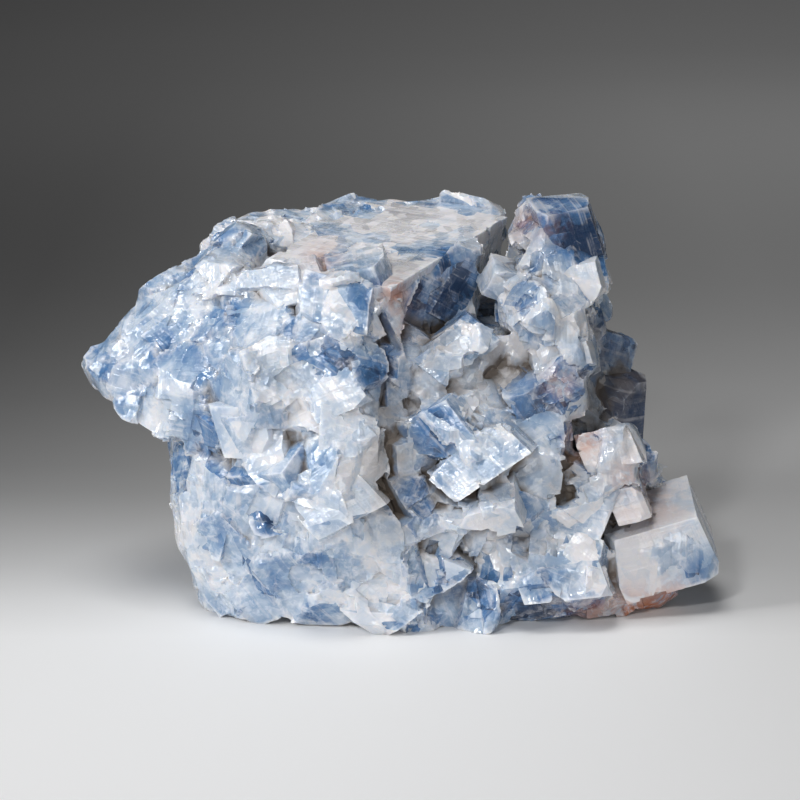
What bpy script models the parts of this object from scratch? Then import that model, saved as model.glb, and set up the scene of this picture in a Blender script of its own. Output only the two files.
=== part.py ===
"""Blue calcite: one lump of crystals grown together, resting on its broken underside.

Metres, +Z up. The origin is on the surface that the lump stands on, under the middle of its box.
The front faces -Y. Every crystal is a cleavage rhomb: a cube sheared to calcite's own angle.
"""
import math
import random

import bmesh
import bpy
from mathutils import Matrix, Vector

# Driving dimensions, in millimetres
WIDTH = 150.0
HEIGHT = 94.0
DEPTH = 103.0
MM = 0.001

# Calcite's cleavage: each pair of edges of a rhomb meets at this angle
RHOMB_ANGLE = math.radians(101.92)
# The front view looks down by this much, and the crystals are placed as seen in it
FRONT_VIEW_TILT = math.radians(14.0)

SEED = 24
# Small crystals between the main ones, and the notches that broken ones left
FILL_SPACING = 10.2
FILL_LONG = (9.0, 17.0)
FILL_SHORT = (7.0, 13.0)
FILL_PROUD = (-0.3, 1.4)
NOTCH_SPACING = 16.0
NOTCH_SIZE = (6.0, 13.0)
NOTCH_DEPTH = (0.9, 2.8)
CHIP_SHARE = (0.1, 0.42)
# The main crystals sit this much deeper than the faces that they show
MAIN_SUNK = 1.3
WIDEST_CLEAR = 15.0
GRAIN_SPACING = 27.0
GRAIN_LEAN = math.radians(20.0)
FACE_LEAN = math.radians(17.0)
# The masses reach this far past their corners
MASS_GROWTH = 1.6

# The large masses, as the corners of convex lumps in millimetres (x, y, z)
MASSES = {
    "left_body": [
        (-44, -28, 0), (-20, -36, -1), (8, -38, -1), (15, 36, 0), (-32, 38, -1), (-46, 8, 3),
        (-53, -14, 31), (-50, -28, 28), (-22, -43, 24), (4, -42, 22), (-53, 20, 34), (-5, -38, 46),
        (-46, -21, 58), (-30, -35, 64), (-12, -34, 66), (-6, -26, 74), (20, 8, 83), (-44, 4, 83),
        (-38, 20, 84), (-14, 32, 85), (16, 32, 85), (-30, 46, 56), (6, 50, 46), (-28, 48, 16),
        (-48, -6, 76),
    ],
    "left_wedge": [
        (-72, -12, 57), (-71, -4, 53), (-57, -3, 73), (-67, -16, 52), (-56, -23, 44), (-49, 2, 80),
        (-40, 10, 83), (-56, 10, 60), (-38, -34, 58), (-42, -31, 44), (-48, 22, 58), (-54, 6, 45),
        (-32, -30, 69),
    ],
    "right_body": [
        (12, -34, -1), (30, -33, -1), (50, -30, -1), (58, -24, 1), (54, 20, -1), (18, 40, -1),
        (58, 11, 31), (56, 12, 42), (53, -18, 22), (38, -33, 24), (8, -37, 26), (10, -33, 42),
        (34, -27, 44), (36, -18, 56), (49, 15, 62), (14, -26, 54), (4, -22, 56), (30, 34, 60),
        (8, 40, 62), (40, 38, 24), (14, 50, 22),
    ],
    "right_column": [
        (33, -6, 87), (41, 3, 89), (44, 0, 88), (46, -5, 82), (45, -9, 75), (33, -16, 77),
        (38, -20, 68), (26, -2, 82), (28, 12, 85), (26, -22, 46), (38, -26, 44), (44, 0, 60),
        (40, 20, 76), (26, 16, 60), (20, -18, 60), (46, 8, 52),
    ],
    "crest": [
        (27, 18, 85), (19, 24, 87), (5, 26, 88), (-13, 26, 86), (-19, 22, 84), (-36, 13, 84),
        (-30, 2, 79), (0, 0, 79), (20, 8, 81), (24, 36, 76), (-16, 40, 74), (0, 30, 60),
    ],
    "back_mass": [
        (-26, 40, -1), (30, 40, 0), (38, 30, 30), (34, 36, 56), (-20, 42, 66), (-32, 40, 34),
        (-10, 50, 18), (18, 52, 14), (20, 51, 38), (-8, 50, 46),
    ],
}

# The trenches between the masses, cut out before the crystals are set on them
TRENCHES = {
    "upper_valley": [
        (1, -50, 72), (-1, -26, 72), (2, -16, 62), (12, -44, 56), (20, -24, 60), (24, -14, 68),
        (27, -2, 76), (30, 4, 92), (25, 6, 80), (26, -20, 95), (8, -14, 78), (16, 0, 84),
        (30, 2, 80), (4, -40, 90), (18, -4, 94),
    ],
    "lower_crevice": [
        (-6, -50, 52), (2, -50, 52), (-2, -28, 54), (-4, -50, 14), (1, -50, 14), (-2, -36, 18),
        (4, -46, 60), (0, -28, 60),
    ],
    "shaded_side": [
        (41, -40, 66), (44, -12, 70), (60, -40, 66), (66, 0, 70), (40, -40, 34), (43, -14, 36),
        (64, -40, 34), (66, 4, 34), (50, 0, 68), (55, 0, 36),
    ],
}

# The main crystals, placed by the middle of the face that shows most:
# across and up in the front view, and depth behind the middle plane, all in millimetres;
# the way the face looks (turned right, turned up) and its roll in degrees; width, height, thickness
MAIN_CRYSTALS = {
    "left_wedge": (-51.0, 56.5, -21.0, -22, 18, 45, 42, 24, 34),
    "shoulder_window": (-42.5, 80.0, -8.0, -34, 34, 62, 11, 9, 12),
    "shoulder_side": (-47.0, 77.0, -4.0, -62, 28, 55, 13, 8, 12),
    "shoulder_top": (-33.0, 84.0, 4.0, -20, 55, 8, 14, 12, 12),
    "brow_left": (-27.0, 71.0, -24.0, -12, 42, 20, 17, 13, 12),
    "brow_middle": (-15.0, 66.0, -31.0, -4, 34, -14, 16, 12, 12),
    "brow_blue": (-8.0, 68.0, -27.0, 12, 4, 12, 14, 9, 12),
    "pale_plate": (-38.0, 35.5, -38.5, -18, 6, 2, 15, 12, 12),
    "left_flank": (-47.5, 33.0, -29.5, -52, -14, 62, 14, 11, 12),
    "left_slabs": (-44.5, 14.5, -35.0, -38, 4, 74, 17, 9, 12),
    "blue_band": (-32.5, 22.0, -42.0, -26, -18, 12, 16, 8, 12),
    "white_cleavage": (-16.5, 21.8, -47.0, -9, 11, 30, 16.5, 15.5, 15),
    "dark_pool": (-29.5, 15.8, -42.5, -2, 16, 14, 10, 7, 10),
    "chest_facet": (-11.5, 34.0, -43.5, 8, 14, -18, 14, 13, 13),
    "chest_blue": (-16.0, 45.0, -40.0, -6, 24, 24, 13, 11, 12),
    "chest_left": (-33.0, 47.0, -37.5, -12, 16, -10, 13, 11, 12),
    "chest_side": (-4.6, 27.5, -41.0, 48, 2, 70, 16, 9, 10),
    "valley_pebble": (-5.5, 49.8, -31.0, 22, 0, 64, 11, 8.5, 10),
    "foot_blue": (-28.5, 1.5, -40.5, -6, -14, 8, 14, 9, 12),
    "foot_left": (-41.5, -2.0, -33.0, -30, -6, 30, 13, 9, 12),
    "foot_front": (-8.0, 5.5, -40.5, 2, 4, -10, 14, 9, 12),
    "hackly_slope": (0.5, 0.5, -41.5, 0, 17, 38, 27, 15, 16),
    "smooth_blue": (7.2, 35.2, -38.5, -14, 14, 30, 14.5, 12, 14),
    "stepped_prism": (17.4, 29.2, -41.5, -6, 24, 37, 21, 10, 14),
    "white_block": (21.0, 14.3, -43.0, 4, -14, 15, 13, 7.5, 13),
    "pale_block": (9.8, 12.8, -41.5, -14, 10, 52, 13, 10, 13),
    "valley_prism": (13.2, 54.8, -27.0, 2, 26, 38, 17, 10.5, 14),
    "valley_wall": (13.0, 71.0, -7.5, 40, -8, 50, 15, 14, 12),
    "grey_rhomb": (24.5, 69.0, -14.0, 0, 6, 62, 7.5, 7, 10),
    "pebble": (28.6, 79.7, -8.0, -10, 12, 20, 5.6, 5, 9),
    "scratched": (31.5, 40.3, -29.0, 12, -4, 22, 10, 9.5, 12),
    "column_head": (42.0, 79.0, -9.5, 30, 8, 6, 13, 13.5, 22),
    "column_cap": (38.8, 84.6, -3.0, -26, 48, 18, 9, 8, 12),
    "column_white": (40.3, 69.0, -18.0, 0, 10, 8, 13, 9, 14),
    "column_edge": (37.6, 54.5, -23.5, -6, 10, -72, 12, 12, 12),
    "column_low": (39.2, 44.4, -25.5, 10, 2, -82, 12.5, 8, 12),
    "tall_grey": (32.7, 23.4, -34.5, -12, 5, 84, 19, 9, 12),
    "white_wedge": (48.0, 32.5, -30.0, -6, 30, 12, 13, 9.5, 10),
    "slab": (47.0, 25.2, -31.0, 0, -10, 15, 13, 5, 10),
    "small_block": (53.4, 18.8, -33.0, 6, 10, 10, 8, 8.5, 10),
    "middle_blue": (43.6, 18.6, -34.5, -6, 16, 68, 14, 11, 12),
    "grey_lump": (56.8, 27.7, -21.0, 32, 10, 30, 12, 12, 14),
    "corner_block": (61.6, 5.4, -30.5, 10, 5, 14, 22.5, 14.5, 34),
    "deep_blue": (56.0, 38.2, -3.5, 48, 2, 74, 15, 11, 14),
    "shaded_top": (48.5, 64.6, -2.0, 42, 22, 28, 12, 10, 12),
    "shaded_side": (51.5, 52.0, 0.0, 52, 4, 60, 13, 11, 12),
    "front_slab": (36.8, 3.6, -41.0, 0, 30, 6, 20, 12, 12),
    "small_rhomb": (42.2, 9.0, -38.5, 2, 22, -40, 7.5, 7, 10),
    "underside": (32.7, -4.6, -38.5, 0, -44, 4, 27, 10, 12),
    "rust_corner": (58.7, -5.6, -28.0, 22, -32, 18, 15, 9, 12),
}


# The crystals that kept their corners
UNBROKEN = ("left_wedge", "corner_block", "white_cleavage", "column_head")


def scene_cleared():
    for obj in list(bpy.data.objects):
        bpy.data.objects.remove(obj, do_unlink=True)


def new_collection(name):
    collection = bpy.data.collections.new(name)
    bpy.context.scene.collection.children.link(collection)
    return collection


def add_object(name, bm, collection):
    mesh = bpy.data.meshes.new(name)
    bm.to_mesh(mesh)
    bm.free()
    obj = bpy.data.objects.new(name, mesh)
    collection.objects.link(obj)
    return obj


def calcite_material():
    material = bpy.data.materials.new("blue_calcite")
    material.use_nodes = True
    shader = material.node_tree.nodes["Principled BSDF"]
    shader.inputs["Base Color"].default_value = (0.46, 0.58, 0.72, 1.0)
    shader.inputs["Roughness"].default_value = 0.3
    shader.inputs["Metallic"].default_value = 0.0
    return material


def from_front_view(across, up, depth):
    """A point given by where it shows in the tilted front view and how deep it lies."""
    z = (up - depth * math.sin(FRONT_VIEW_TILT)) / math.cos(FRONT_VIEW_TILT)
    return Vector((across, depth, z))


def face_frame(turn, lift, roll):
    """Columns: along the face, across it and out of it. Turn is to the right, lift is up."""
    a, e, r = math.radians(turn), math.radians(lift), math.radians(roll)
    outward = Vector((math.sin(a) * math.cos(e), -math.cos(a) * math.cos(e), math.sin(e)))
    level = Vector((math.cos(a), math.sin(a), 0.0))
    rising = outward.cross(level)
    along = level * math.cos(r) + rising * math.sin(r)
    return Matrix((along, outward.cross(along), outward)).transposed()


def rhomb_shear():
    """Turns a unit cube into a unit cleavage rhomb with its face still level."""
    c, s = math.cos(RHOMB_ANGLE), math.sin(RHOMB_ANGLE)
    lean = (c - c * c) / s
    rise = math.sqrt(1.0 - c * c - lean * lean)
    return Matrix(((1.0, c, c), (0.0, s, lean), (0.0, 0.0, rise)))


def chip(bm, rng, size, upward):
    """Breaks a corner off the shown side of a crystal with a plane across the cleavage."""
    sideways = Vector((rng.gauss(0, 1), rng.gauss(0, 1), rng.gauss(0, 1))).normalized()
    outward = (upward * rng.uniform(0.5, 0.9) + sideways).normalized()
    reach = max(v.co.dot(outward) for v in bm.verts)
    cut = outward * (reach - rng.uniform(*CHIP_SHARE) * size)
    geom = bm.verts[:] + bm.edges[:] + bm.faces[:]
    bmesh.ops.bisect_plane(bm, geom=geom, plane_co=cut, plane_no=outward, clear_outer=True)
    bmesh.ops.holes_fill(bm, edges=[e for e in bm.edges if e.is_boundary])


def rhomb(name, frame, face_middle, size, collection, chips=0, rng=None):
    """One crystal: its shown face has its middle at face_middle, and the body lies behind."""
    bm = bmesh.new()
    bmesh.ops.create_cube(bm, size=1.0)
    place = frame @ rhomb_shear() @ Matrix.Diagonal(size)
    bm.transform(place.to_4x4())
    for _ in range(chips):
        chip(bm, rng, min(size), frame.col[2])
    behind = place @ Vector((0.0, 0.0, 0.5))
    bm.transform(Matrix.Translation(face_middle - behind))
    bmesh.ops.recalc_face_normals(bm, faces=bm.faces)
    return add_object(name, bm, collection)


def lump(name, corners, collection, growth=0.0):
    """A convex lump around its corners, each moved out from the middle by the growth."""
    bm = bmesh.new()
    middle = sum((Vector(c) for c in corners), Vector()) / len(corners)
    for corner in corners:
        outward = (Vector(corner) - middle).normalized()
        bm.verts.new(Vector(corner) + outward * growth)
    hull = bmesh.ops.convex_hull(bm, input=bm.verts)
    bmesh.ops.delete(bm, geom=hull["geom_interior"], context="VERTS")
    bmesh.ops.recalc_face_normals(bm, faces=bm.faces)
    return add_object(name, bm, collection)


def combined(first, others, operation):
    """The first object joined with, or cut by, every object of a collection."""
    boolean = first.modifiers.new("fuse", "BOOLEAN")
    boolean.operation = operation
    boolean.operand_type = "COLLECTION"
    boolean.collection = others
    boolean.solver = "EXACT"
    bpy.context.view_layer.update()
    graph = bpy.context.evaluated_depsgraph_get()
    mesh = bpy.data.meshes.new_from_object(first.evaluated_get(graph))
    first.modifiers.clear()
    first.data = mesh
    return first


def spread_points(mesh, spacing, rng, tries=6000):
    """Points over a mesh with their face normals, none closer to another than spacing."""
    triangles = []
    mesh.calc_loop_triangles()
    for triangle in mesh.loop_triangles:
        corners = [mesh.vertices[i].co for i in triangle.vertices]
        triangles.append((corners, triangle.normal.copy(), triangle.area))
    weights = [t[2] for t in triangles]
    found = []
    for corners, normal, _ in rng.choices(triangles, weights, k=tries):
        u, v = sorted((rng.random(), rng.random()))
        point = corners[0] * u + corners[1] * (v - u) + corners[2] * (1 - v)
        if all((point - other).length > spacing for other, _ in found):
            found.append((point, normal))
    return found


def turned_face(normal, rng):
    """A crystal frame whose face leans a little from the surface that it grew on."""
    axis = Vector((rng.gauss(0, 1), rng.gauss(0, 1), rng.gauss(0, 1))).normalized()
    leaned = Matrix.Rotation(rng.uniform(-GRAIN_LEAN, GRAIN_LEAN), 3, axis) @ normal
    side = leaned.orthogonal().normalized()
    side = Matrix.Rotation(rng.uniform(0, math.tau), 3, leaned) @ side
    return Matrix((side, leaned.cross(side), leaned)).transposed()


def nearest_face_frame(grain, normal):
    """Of a grain's own cleavage faces, the one that looks most along the surface normal,

    tipped towards the normal so that it leans from it by no more than FACE_LEAN."""
    edges = grain @ rhomb_shear()
    best = None
    for k in range(3):
        a, b = edges.col[(k + 1) % 3], edges.col[(k + 2) % 3]
        outward = a.cross(b).normalized()
        for sign in (1.0, -1.0):
            if best is None or (outward * sign).dot(normal) > best[0]:
                along = (a * sign).normalized()
                face = Matrix((along, (outward * sign).cross(along), outward * sign)).transposed()
                best = ((outward * sign).dot(normal), face)
    face = best[1]
    lean = face.col[2].angle(normal)
    if lean <= FACE_LEAN:
        return face
    axis = face.col[2].cross(normal)
    return Matrix.Rotation(lean - FACE_LEAN, 3, axis) @ face


def add_masses(collection):
    return [lump(name, corners, collection, MASS_GROWTH) for name, corners in MASSES.items()]


def add_trenches(collection):
    for name, corners in TRENCHES.items():
        lump(name, corners, collection)


def add_main_crystals(collection, rng):
    placed = []
    for name, values in MAIN_CRYSTALS.items():
        across, up, depth, turn, lift, roll, width, height, thickness = values
        middle = from_front_view(across, up, depth)
        size = Vector((width, height, thickness))
        frame = face_frame(turn, lift, roll)
        chips = 0 if name in UNBROKEN else 2
        rhomb(name, frame, middle - frame.col[2] * MAIN_SUNK, size, collection, chips, rng)
        placed.append((middle, min((width + height) / 2, WIDEST_CLEAR)))
    return placed


def clear_of_main(point, placed, share):
    return all((point - middle).length > share * span for middle, span in placed)


def add_fill_crystals(points, grains, placed, collection, rng):
    """Smaller crystals over the rest of the surface, parallel to each other within a grain."""
    for number, (point, normal) in enumerate(points):
        if clear_of_main(point, placed, 0.5):
            grain = min(grains, key=lambda g: (g[0] - point).length)[1]
            sides = [rng.uniform(*FILL_LONG), rng.uniform(*FILL_SHORT)]
            rng.shuffle(sides)
            size = Vector((*sides, rng.uniform(*FILL_SHORT)))
            middle = point + normal * rng.uniform(*FILL_PROUD)
            frame = nearest_face_frame(grain, normal)
            rhomb(f"fill_{number}", frame, middle, size, collection, rng.choice((1, 2)), rng)


def add_notches(surface, grains, placed, collection, rng):
    """Cutters for the stepped hollows where crystals broke out along their cleavage."""
    for number, (point, normal) in enumerate(spread_points(surface, NOTCH_SPACING, rng)):
        if clear_of_main(point, placed, 0.42):
            grain = min(grains, key=lambda g: (g[0] - point).length)[1]
            frame = nearest_face_frame(grain, normal)
            size = Vector([rng.uniform(*NOTCH_SIZE) for _ in range(3)])
            floor = point - normal * rng.uniform(*NOTCH_DEPTH)
            middle = floor + frame.col[2] * size.z * rhomb_shear().col[2].z
            rhomb(f"notch_{number}", frame, middle, size, collection)


def keep_outer_shell(obj):
    """Removes the walls of pockets that lie sealed inside the lump."""
    bm = bmesh.new()
    bm.from_mesh(obj.data)
    shells, left = [], set(bm.verts)
    while left:
        shell, edge = set(), [left.pop()]
        while edge:
            vert = edge.pop()
            shell.add(vert)
            for e in vert.link_edges:
                other = e.other_vert(vert)
                if other in left:
                    left.discard(other)
                    edge.append(other)
        shells.append(shell)
    outer = max(shells, key=len)
    inner = [v for v in bm.verts if v not in outer]
    bmesh.ops.delete(bm, geom=inner, context="VERTS")
    bm.to_mesh(obj.data)
    bm.free()


def floor_block(collection):
    """A cutter under the lump, which levels the points that it rests on."""
    bm = bmesh.new()
    thick = 30.0
    bmesh.ops.create_cube(bm, size=1.0)
    bm.transform(Matrix.Diagonal((2 * WIDTH, 2 * DEPTH, thick, 1.0)))
    bm.transform(Matrix.Translation((0.0, 0.0, -thick / 2)))
    return add_object("floor_block", bm, collection)


def box_of(obj):
    corners = [v.co for v in obj.data.vertices]
    low = Vector([min(c[k] for c in corners) for k in range(3)])
    high = Vector([max(c[k] for c in corners) for k in range(3)])
    return low, high


def fit_to_size(obj):
    """Brings the lump to its driving width, depth and height, centred over the origin."""
    low, high = box_of(obj)
    centre = (low + high) / 2
    stretch = Vector((WIDTH / (high.x - low.x), DEPTH / (high.y - low.y), HEIGHT / (high.z - low.z)))
    move = Matrix.Translation((-centre.x, -centre.y, -low.z))
    scale = Matrix.Diagonal((*(stretch * MM), 1.0))
    obj.data.transform(scale @ move)


def build():
    scene_cleared()
    rng = random.Random(SEED)
    stone = new_collection("blue_calcite")
    masses = new_collection("masses")
    trenches = new_collection("trenches")
    crystals = new_collection("crystals")
    notches = new_collection("notches")
    helpers = (masses, trenches, crystals, notches)

    first, *others = add_masses(masses)
    masses.objects.unlink(first)
    stone.objects.link(first)
    surface = combined(first, masses, "UNION")
    grains = [(p, turned_face(n, rng)) for p, n in spread_points(surface.data, GRAIN_SPACING, rng)]
    points = spread_points(surface.data, FILL_SPACING, rng)
    add_trenches(trenches)
    surface = combined(surface, trenches, "DIFFERENCE")
    points = [p for p in points if surface.closest_point_on_mesh(p[0], distance=0.3)[0]]
    placed = add_main_crystals(crystals, rng)
    add_fill_crystals(points, grains, placed, crystals, rng)
    lump_object = combined(surface, crystals, "UNION")
    add_notches(lump_object.data, grains, placed, notches, rng)
    floor_block(notches)
    lump_object = combined(lump_object, notches, "DIFFERENCE")
    keep_outer_shell(lump_object)
    fit_to_size(lump_object)

    lump_object.name = "blue_calcite"
    lump_object.data.name = "blue_calcite"
    lump_object.data.materials.clear()
    lump_object.data.materials.append(calcite_material())
    for helper in helpers:
        for obj in list(helper.objects):
            bpy.data.objects.remove(obj, do_unlink=True)
        bpy.data.collections.remove(helper)


build()
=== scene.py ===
import math

import bpy
import numpy as np
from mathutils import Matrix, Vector


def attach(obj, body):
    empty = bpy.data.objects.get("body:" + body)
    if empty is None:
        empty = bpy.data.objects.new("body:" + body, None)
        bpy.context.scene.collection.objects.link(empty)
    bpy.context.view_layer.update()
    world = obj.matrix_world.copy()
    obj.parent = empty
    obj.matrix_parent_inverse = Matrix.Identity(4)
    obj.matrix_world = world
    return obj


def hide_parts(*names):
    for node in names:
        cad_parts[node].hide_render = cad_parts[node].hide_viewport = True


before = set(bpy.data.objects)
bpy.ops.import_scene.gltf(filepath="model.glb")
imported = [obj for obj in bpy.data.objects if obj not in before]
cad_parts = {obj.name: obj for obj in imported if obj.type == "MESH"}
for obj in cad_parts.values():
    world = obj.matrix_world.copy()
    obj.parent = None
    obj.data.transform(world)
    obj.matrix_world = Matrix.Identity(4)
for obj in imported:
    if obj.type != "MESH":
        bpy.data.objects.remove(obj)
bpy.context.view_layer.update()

# The lump as seen from the front: how millimetres in that view become places on the stone
frontView = {
    "tilt": 14.0,                            # the view looks down by this many degrees
    "shift": (0.852, -3.365, 0.0),           # mm
    "stretch": (0.98666, 1.00308, 1.00282),
}

# Crystals large enough to name. Place: across, up and depth in the front view (mm).
# Way the shown face looks: turned right, turned up, rolled (degrees). Size: width, height,
# thickness (mm). Then tint (0 white to 1 deep blue), milk (0 clear to 1 white), wear (0 flat
# and glossy to 1 crushed).
namedCrystals = {
    "topPlane": ((-3.9, 82.2, -0.2), (0, 77.6, 56.3), (50, 34, 14), 0.05, 0.8, 0.5),
    "wedgeFace": ((-51.0, 56.5, -21.0), (-22, 18, 45), (40, 23, 30), 0.34, 0.3, 0.6),
    "wedgeTipFacet": ((-64.5, 52.8, -15.2), (-16, 24, 45), (10, 8, 8), 0.66, 0.1, 0.2),
    "wedgeBlueFacet": ((-54.8, 58.0, -21.0), (-14, 20, 38), (9, 8, 8), 0.46, 0.1, 0.25),
    "wedgeUnderFacet": ((-58.0, 44.5, -19.5), (-20, -20, 40), (14, 7, 8), 0.5, 0.1, 0.3),
    "shoulderWindow": ((-42.5, 80.0, -8.0), (-34, 34, 62), (11, 9, 12), 0.5, 0.1, 0.2),
    "shoulderSide": ((-47.0, 77.0, -4.0), (-62, 28, 55), (13, 8, 12), 0.45, 0.1, 0.3),
    "shoulderTop": ((-33.0, 84.0, 4.0), (-20, 55, 8), (14, 12, 12), 0.2, 0.5, 0.5),
    "browLeft": ((-27.0, 71.0, -24.0), (-12, 42, 20), (17, 13, 12), 0.24, 0.4, 0.4),
    "browMiddle": ((-15.0, 66.0, -31.0), (-4, 34, -14), (16, 12, 12), 0.62, 0.1, 0.3),
    "browBlue": ((-8.0, 68.0, -27.0), (12, 4, 12), (14, 9, 12), 0.68, 0.1, 0.3),
    "palePlate": ((-38.0, 35.5, -38.5), (-18, 6, 2), (15, 12, 12), 0.28, 0.3, 0.2),
    "leftFlank": ((-47.5, 33.0, -29.5), (-52, -14, 62), (14, 11, 12), 0.6, 0.1, 0.2),
    "leftSlabs": ((-44.5, 14.5, -35.0), (-38, 4, 74), (17, 9, 12), 0.46, 0.2, 0.4),
    "blueBand": ((-32.5, 22.0, -42.0), (-26, -18, 12), (16, 8, 12), 0.66, 0.1, 0.2),
    "whiteCleavage": ((-16.5, 21.8, -47.2), (-7.5, 25.4, 30), (17, 16, 15), 0.2, 0.3, 0.0),
    "darkPool": ((-29.5, 15.8, -42.5), (-2, 16, 14), (10, 7, 10), 0.62, 0.0, 0.1),
    "chestFacet": ((-11.5, 34.0, -43.5), (8, 14, -18), (14, 13, 13), 0.34, 0.3, 0.3),
    "chestBlue": ((-16.0, 45.0, -40.0), (-6, 24, 24), (13, 11, 12), 0.42, 0.3, 0.3),
    "chestLeft": ((-33.0, 47.0, -37.5), (-12, 16, -10), (13, 11, 12), 0.3, 0.3, 0.5),
    "chestSide": ((-4.6, 27.5, -41.0), (48, 2, 70), (16, 9, 10), 0.44, 0.1, 0.2),
    "valleyPebble": ((-5.5, 49.8, -31.0), (22, 0, 64), (11, 8.5, 10), 0.66, 0.0, 0.1),
    "footBlue": ((-28.5, 1.5, -40.5), (-6, -14, 8), (14, 9, 12), 0.72, 0.1, 0.2),
    "footLeft": ((-41.5, -2.0, -33.0), (-30, -6, 30), (13, 9, 12), 0.46, 0.2, 0.3),
    "footFront": ((-8.0, 5.5, -40.5), (2, 4, -10), (14, 9, 12), 0.34, 0.3, 0.5),
    # the hackly slope's pale tint is partly painted light
    "hacklySlope": ((0.5, 0.8, -43.2), (0, 17, 38), (27, 15, 16), 0.14, 0.5, 0.7),
    "smoothBlue": ((7.2, 35.2, -38.5), (-14, 14, 30), (14.5, 12, 14), 0.6, 0.0, 0.0),
    "steppedPrism": ((17.4, 29.2, -41.5), (-10.4, 24.4, 37), (21, 10, 14), 0.46, 0.2, 0.4),
    "whiteBlock": ((21.0, 14.3, -43.0), (4, -14, 15), (13, 7.5, 13), 0.22, 0.4, 0.2),
    "paleBlock": ((9.8, 12.8, -41.5), (-14, 10, 52), (13, 10, 13), 0.38, 0.2, 0.2),
    "valleyPrism": ((13.2, 54.8, -27.0), (2, 26, 38), (17, 10.5, 14), 0.6, 0.1, 0.2),
    # the valley wall's deep tint is partly painted shade, for a face turned from the key lamp
    "valleyWall": ((14.5, 67.8, -8.5), (42, -4, 50), (15, 11, 4), 0.8, 0.0, 0.2),
    "greyRhomb": ((24.5, 69.0, -14.0), (0, 6, 62), (7.5, 7, 10), 0.38, 0.2, 0.1),
    "pebble": ((28.6, 79.7, -8.0), (-10, 12, 20), (5.6, 5, 9), 0.3, 0.3, 0.1),
    "scratched": ((31.5, 40.3, -29.0), (12, -4, 22), (10, 9.5, 12), 0.66, 0.0, 0.1),
    "columnHead": ((42.6, 79.6, -11.6), (26, 4, 6), (14.5, 15, 12), 0.84, 0.0, 0.15),
    "columnCap": ((38.8, 84.6, -3.0), (-26, 48, 18), (9, 8, 12), 0.12, 0.7, 0.5),
    "columnWhite": ((40.3, 69.0, -18.0), (0, 10, 8), (13, 9, 14), 0.14, 0.5, 0.1),
    "columnEdge": ((37.6, 54.5, -23.5), (-6, 10, -72), (12, 12, 12), 0.3, 0.3, 0.2),
    "columnLow": ((39.2, 44.4, -25.5), (10, 2, -82), (12.5, 8, 12), 0.36, 0.3, 0.3),
    "tallGrey": ((32.7, 23.4, -34.5), (-12, 5, 84), (19, 9, 12), 0.46, 0.1, 0.1),
    "whiteWedge": ((48.0, 32.5, -30.0), (-6, 30, 12), (13, 9.5, 10), 0.12, 0.6, 0.2),
    "slab": ((47.0, 25.2, -31.0), (0, -10, 15), (13, 5, 10), 0.36, 0.2, 0.1),
    "smallBlock": ((53.4, 18.8, -33.0), (6, 10, 10), (8, 8.5, 10), 0.24, 0.4, 0.1),
    "middleBlue": ((43.6, 18.6, -34.5), (-6, 16, 68), (14, 11, 12), 0.46, 0.2, 0.2),
    "greyLump": ((56.8, 27.7, -21.0), (32, 10, 30), (12, 12, 14), 0.3, 0.2, 0.5),
    # the corner block's pale tint is partly painted light on its front face
    "cornerBlock": ((61.8, 5.8, -31.5), (10, 5, 13), (24, 16, 21), 0.2, 0.5, 0.1),
    "deepBlue": ((58.4, 38.2, -5.0), (46, 2, 74), (18, 12, 18), 1.0, 0.0, 0.2),
    "shadedTop": ((48.5, 64.6, -2.0), (42, 22, 28), (12, 10, 12), 0.42, 0.2, 0.3),
    "shadedSide": ((54.0, 51.0, -1.0), (52, 4, 60), (15, 12, 16), 0.55, 0.1, 0.4),
    "frontSlab": ((36.8, 3.6, -41.0), (0, 30, 6), (20, 12, 12), 0.38, 0.3, 0.1),
    "smallRhomb": ((42.2, 9.0, -38.5), (2, 22, -40), (7.5, 7, 10), 0.16, 0.5, 0.2),
    "underside": ((32.7, -4.6, -38.5), (0, -44, 4), (27, 10, 12), 0.72, 0.0, 0.5),
    "rustCorner": ((58.7, -5.6, -28.0), (22, -32, 18), (15, 9, 12), 0.3, 0.3, 0.5),
}

# Clefts, broken-out walls and trimmed edges: middle of the cut in the front view (mm), way
# that it looks (degrees), and its width, height and thickness (mm)
clefts = {
    "valleyWall": ((16.5, 70.5, -12.0), (40, -8, 50), (33, 17, 12)),
    "creviceTop": ((-2.6, 58.5, -27.5), (30, 4, 104), (10, 2.4, 8)),
    "creviceUpper": ((-1.9, 52.5, -30.5), (34, 0, 82), (9, 3.0, 9)),
    "creviceMiddle": ((-1.6, 45.8, -34.0), (28, 6, 74), (10, 2.2, 9)),
    "creviceBelow": ((0.2, 38.2, -37.0), (30, 2, 95), (11, 2.8, 8)),
    "creviceLow": ((-0.6, 29.8, -39.2), (26, 0, 86), (10, 2.4, 8)),
    "creviceFoot": ((-2.2, 21.0, -40.4), (22, 4, 110), (11, 3.4, 7)),
    "columnFoot": ((38.3, 26.0, -33.0), (10, 4, 95), (15, 3.0, 8)),
    "recessTop": ((47.0, 55.0, -14.0), (40, 4, 102), (20, 4.0, 12)),
    "recessLow": ((47.5, 39.0, -20.0), (34, 2, 78), (13, 3.4, 11)),
    "columnTop": ((41.0, 93.9, -2.0), (148, 73, 0), (44, 44, 8)),
    "aboveTopPlane": ((-3.9, 84.0, -0.6), (0, 77.6, 56.3), (54, 36, 8)),
    "lowerRight": ((74.6, 19.9, 0.0), (100.3, 35.6, 0), (70, 22, 12)),
    "besideBlock": ((26.0, 17.0, -41.0), (4, 0, 60), (15, 2.2, 6)),
}
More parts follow.
